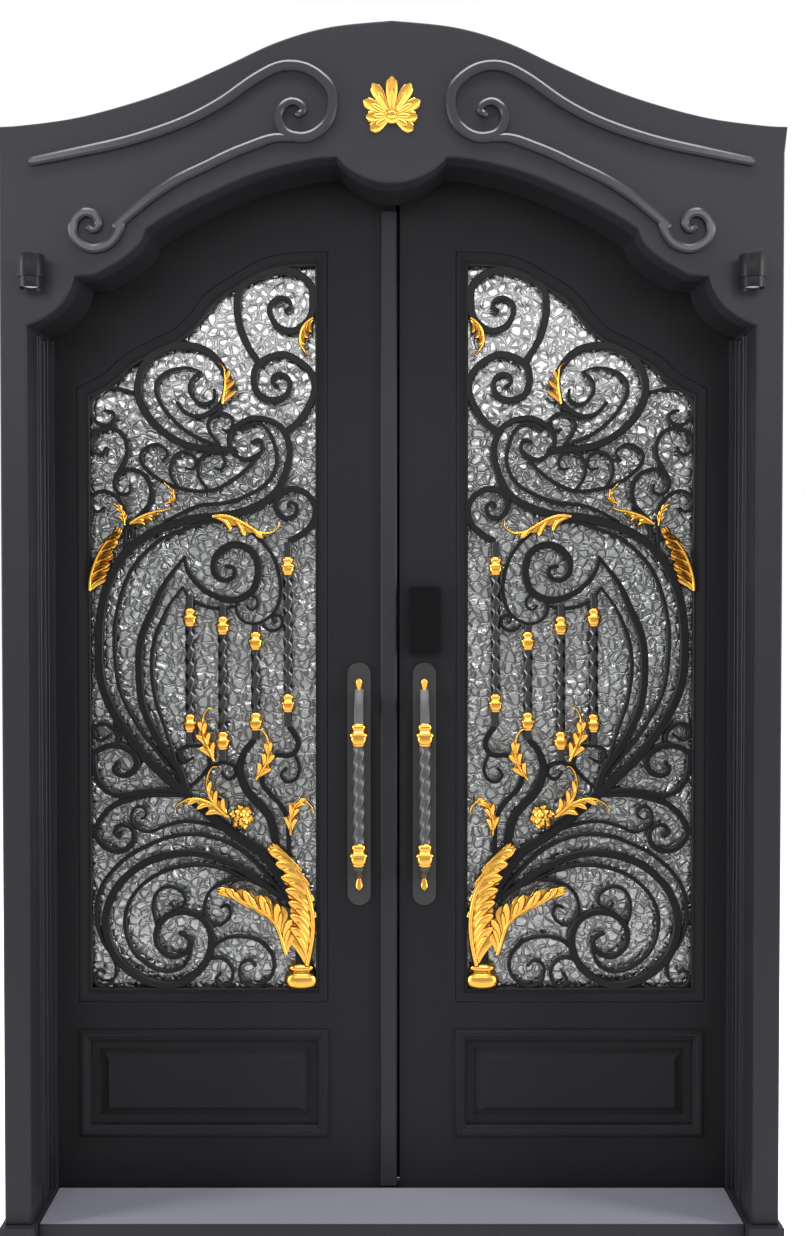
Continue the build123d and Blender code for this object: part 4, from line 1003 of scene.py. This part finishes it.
def make_handles(name, body, side):
    """Front pull with plate, twisted grip and gold, and the plain pull at the back."""
    x = side * HANDLE_X
    plate = Build()
    ring = stadium(x, *HANDLE_PLATE)
    plate.solid(ring, LEAF_Y - 5, LEAF_Y, 1.4)
    for z in (1240.0, 735.0):
        plate.turned(x, z, ((6.5, -5), (6.5, -5.6), (5.2, -5.8), (4.6, -5.2)), LEAF_Y, 20)
    plate.done(name + "_pull_plate", PLATE, body, [name + "_handle_plate"])

    bow = Build()
    inner, far = LEAF_Y - GRIP_REACH + GRIP_SIZE, LEAF_Y - GRIP_REACH
    middle = (inner + far) / 2
    for end, grip in ARM_ENDS:
        side_view = arm_view(LEAF_Y - 5, inner, far, end, grip, 1, 3)
        rows = [[(x + dx, y + (2 if abs(dx) > 9.4 and y < inner else 0), z) for y, z in side_view]
                for dx in (-10.6, -9.2, 9.2, 10.6)]
        bow.rows(rows)
    bow.rows(twisted_rows(x, middle, GRIP_LOW + 20, GRIP_TOP - 20, GRIP_SIZE, 1.75))
    bow.done(name + "_pull_bow", GRIP, body, [name + "_front_handle"], turn=50)

    rear = Build()
    rear.solid(ring, LEAF_BACK_Y, LEAF_BACK_Y + 5, 1.4)
    rear_inner, rear_far = LEAF_BACK_Y + GRIP_REACH - GRIP_SIZE, LEAF_BACK_Y + GRIP_REACH
    half = GRIP_SIZE / 2
    for end, grip in ARM_ENDS:
        side_view = arm_view(LEAF_BACK_Y + 5, rear_inner, rear_far, end, grip)
        rear.rows([[(x + dx, y, z) for y, z in side_view] for dx in (-half, half)])
    rear.box(x - half, x + half, rear_inner, rear_far, GRIP_LOW, GRIP_TOP, 1.5)
    rear.done(name + "_rear_pull", GRIP, body, [name + "_rear_handle"], turn=40)

    gold = Build()
    for z in (GRIP_LOW, GRIP_TOP):
        bead(gold, x, middle, z, 22.6, 56, 3.2)
    for z, way in ((1207.0, 1), (768.0, -1)):
        lobe(gold, (x, z), (x, z + 10 * way), (x, z + 27 * way), 8.0, LEAF_Y - 5.4, 4.5, 1)
    gold.done(name + "_pull_collars", GOLD, body, [name + "_handle_collars"], turn=40)


def make_brush():
    """Soft brush strip behind the meeting gap."""
    build = Build()
    plan = [(6.6, 129), (21.2, 133), (21.2, 137), (6.6, 141)]
    build.upright(plan, LEAF_LOW - 4, LEAF_TOP - 2)
    build.done("meeting_brush", RUBBER, "left_leaf", slot="black_iron")


def soften(name, finish, width):
    """Gives a node of the part its finish and softened edges."""
    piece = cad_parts[name]
    piece.data.materials.clear()
    piece.data.materials.append(finish)
    weld = piece.modifiers.new("weld", "WELD")
    weld.merge_threshold = 0.00002
    soft = piece.modifiers.new("soft", "BEVEL")
    soft.width = width
    soft.segments = 2
    soft.limit_method = "ANGLE"
    soft.angle_limit = radians(35)
    soft.harden_normals = True


def make_sill_painted_light():
    """Thin sheet on the sill's top in a lighter grey than its paint: painted light where the lamps from
    above fall on the top.
    """
    build = Build()
    build.upright([(-777, -126.5), (777, -126.5), (777, 55), (-777, 55)], 39.2, 40.3)
    build.done("sill_painted_light_sheet", SILL_PAINTED_LIGHT, "frame", slot="charcoal_paint")


make_portal()
make_soffit()
make_mouldings()
make_sill_painted_light()
make_brush()
make_crest()
make_downlights()
for name, body, side in (("left", "left_leaf", -1), ("right", "right_leaf", 1)):
    make_leaf(name, body, side)
    make_glass(name, body, side)
    make_lattice(name, body, side)
    make_bars(name, body, side)
    make_foliage(name, body, side)
    make_handles(name, body, side)
for piece, finish, width in (("plinths", PAINT, 0.003), ("sill", PAINT, 0.003),
                            ("head_rail", PAINT, 0.002), ("astragal", PAINT, 0.001),
                            ("front_lock", GLOSS, 0.003), ("rear_lock", GLOSS, 0.003),
                            ("frame_hinges", STEEL, 0.0006), ("left_leaf_hinges", STEEL, 0.0006),
                            ("right_leaf_hinges", STEEL, 0.0006)):
    soften(piece, finish, width)


# Floor, light and camera

def plane(name, size, finish):
    """A level square at the origin."""
    half = size / 2
    data = bpy.data.meshes.new(name)
    data.from_pydata([(-half, -half, 0), (half, -half, 0), (half, half, 0), (-half, half, 0)], [],
                     [(0, 1, 2, 3)])
    data.materials.append(finish)
    placed(name, data)


def lamp(name, place, aim, size, power):
    """A rectangular lamp that faces aim."""
    data = bpy.data.lights.new(name, "AREA")
    data.shape = "RECTANGLE"
    data.size, data.size_y = size
    data.energy = power
    piece = placed(name, data)
    piece.location = place
    piece.rotation_euler = (Vector(aim) - Vector(place)).to_track_quat("-Z", "Y").to_euler()


def background_rays(tree):
    """1 for the rays that show the background, straight, in metal or through glass, 0 for the others."""
    rays = node(tree, "LightPath")
    total = rays.outputs["Is Camera Ray"]
    for kind in ("Is Glossy Ray", "Is Transmission Ray"):
        larger = node(tree, "Math", operation="MAXIMUM")
        tree.links.new(total, larger.inputs[0])
        tree.links.new(rays.outputs[kind], larger.inputs[1])
        total = larger.outputs["Value"]
    return total


FLOOR = material("floor_white", (0.90, 0.90, 0.90), 0.7)
floor_tree = FLOOR.node_tree
floor_shader = floor_tree.nodes["Principled BSDF"]
floor_shader.inputs["Emission Color"].default_value = (1, 1, 1, 1)
floor_glow = node(floor_tree, "Math", operation="MULTIPLY")
floor_glow.inputs[1].default_value = 0.85
floor_tree.links.new(background_rays(floor_tree), floor_glow.inputs[0])
floor_tree.links.new(floor_glow.outputs["Value"], floor_shader.inputs["Emission Strength"])
plane("floor", 60.0, FLOOR)
lamp("window_panel", (0.0, -2.4, 2.52), (0, 0.1, 2.05), (2.0, 0.5), 26)
lamp("left_panel", (-1.45, -2.4, 2.75), (-0.4, 0.1, 2.0), (0.6, 0.9), 17)
lamp("right_panel", (1.45, -2.4, 2.75), (0.4, 0.1, 2.0), (0.6, 0.9), 17)
lamp("top_softbox", (0.0, -0.9, 4.3), (0, -0.1, 1.6), (3.0, 0.5), 120)
lamp("left_softbox", (-3.2, -1.0, 1.7), (0.3, 0, 1.2), (0.6, 3.0), 170)
lamp("right_softbox", (3.2, -1.0, 1.7), (-0.3, 0, 1.2), (0.6, 3.0), 170)
lamp("back_softbox", (0.0, 2.6, 3.4), (0, 0.1, 1.6), (3.0, 1.6), 100)

world = bpy.data.worlds.new("studio")
bpy.context.scene.world = world
world.use_nodes = True
tree = world.node_tree
tree.nodes.clear()
seen = node(tree, "Background", Color=(1, 1, 1, 1))
light = node(tree, "Background", Color=(0.80, 0.82, 0.86, 1), Strength=0.2)
mix = node(tree, "MixShader")
out = node(tree, "OutputWorld")
tree.links.new(background_rays(tree), mix.inputs["Fac"])
tree.links.new(light.outputs["Background"], mix.inputs[1])
tree.links.new(seen.outputs["Background"], mix.inputs[2])
tree.links.new(mix.outputs["Shader"], out.inputs["Surface"])

view = bpy.data.cameras.new("camera")
view.sensor_width = 36.0
view.lens = 39.79
view.shift_x = 0.0091
view.clip_end = 100
camera = placed("camera", view)
camera.location = CAMERA_PLACE
camera.rotation_euler = (radians(90 - CAMERA_DOWN), 0, 0)
bpy.context.scene.camera = camera
bpy.context.scene.view_settings.view_transform = "Standard"
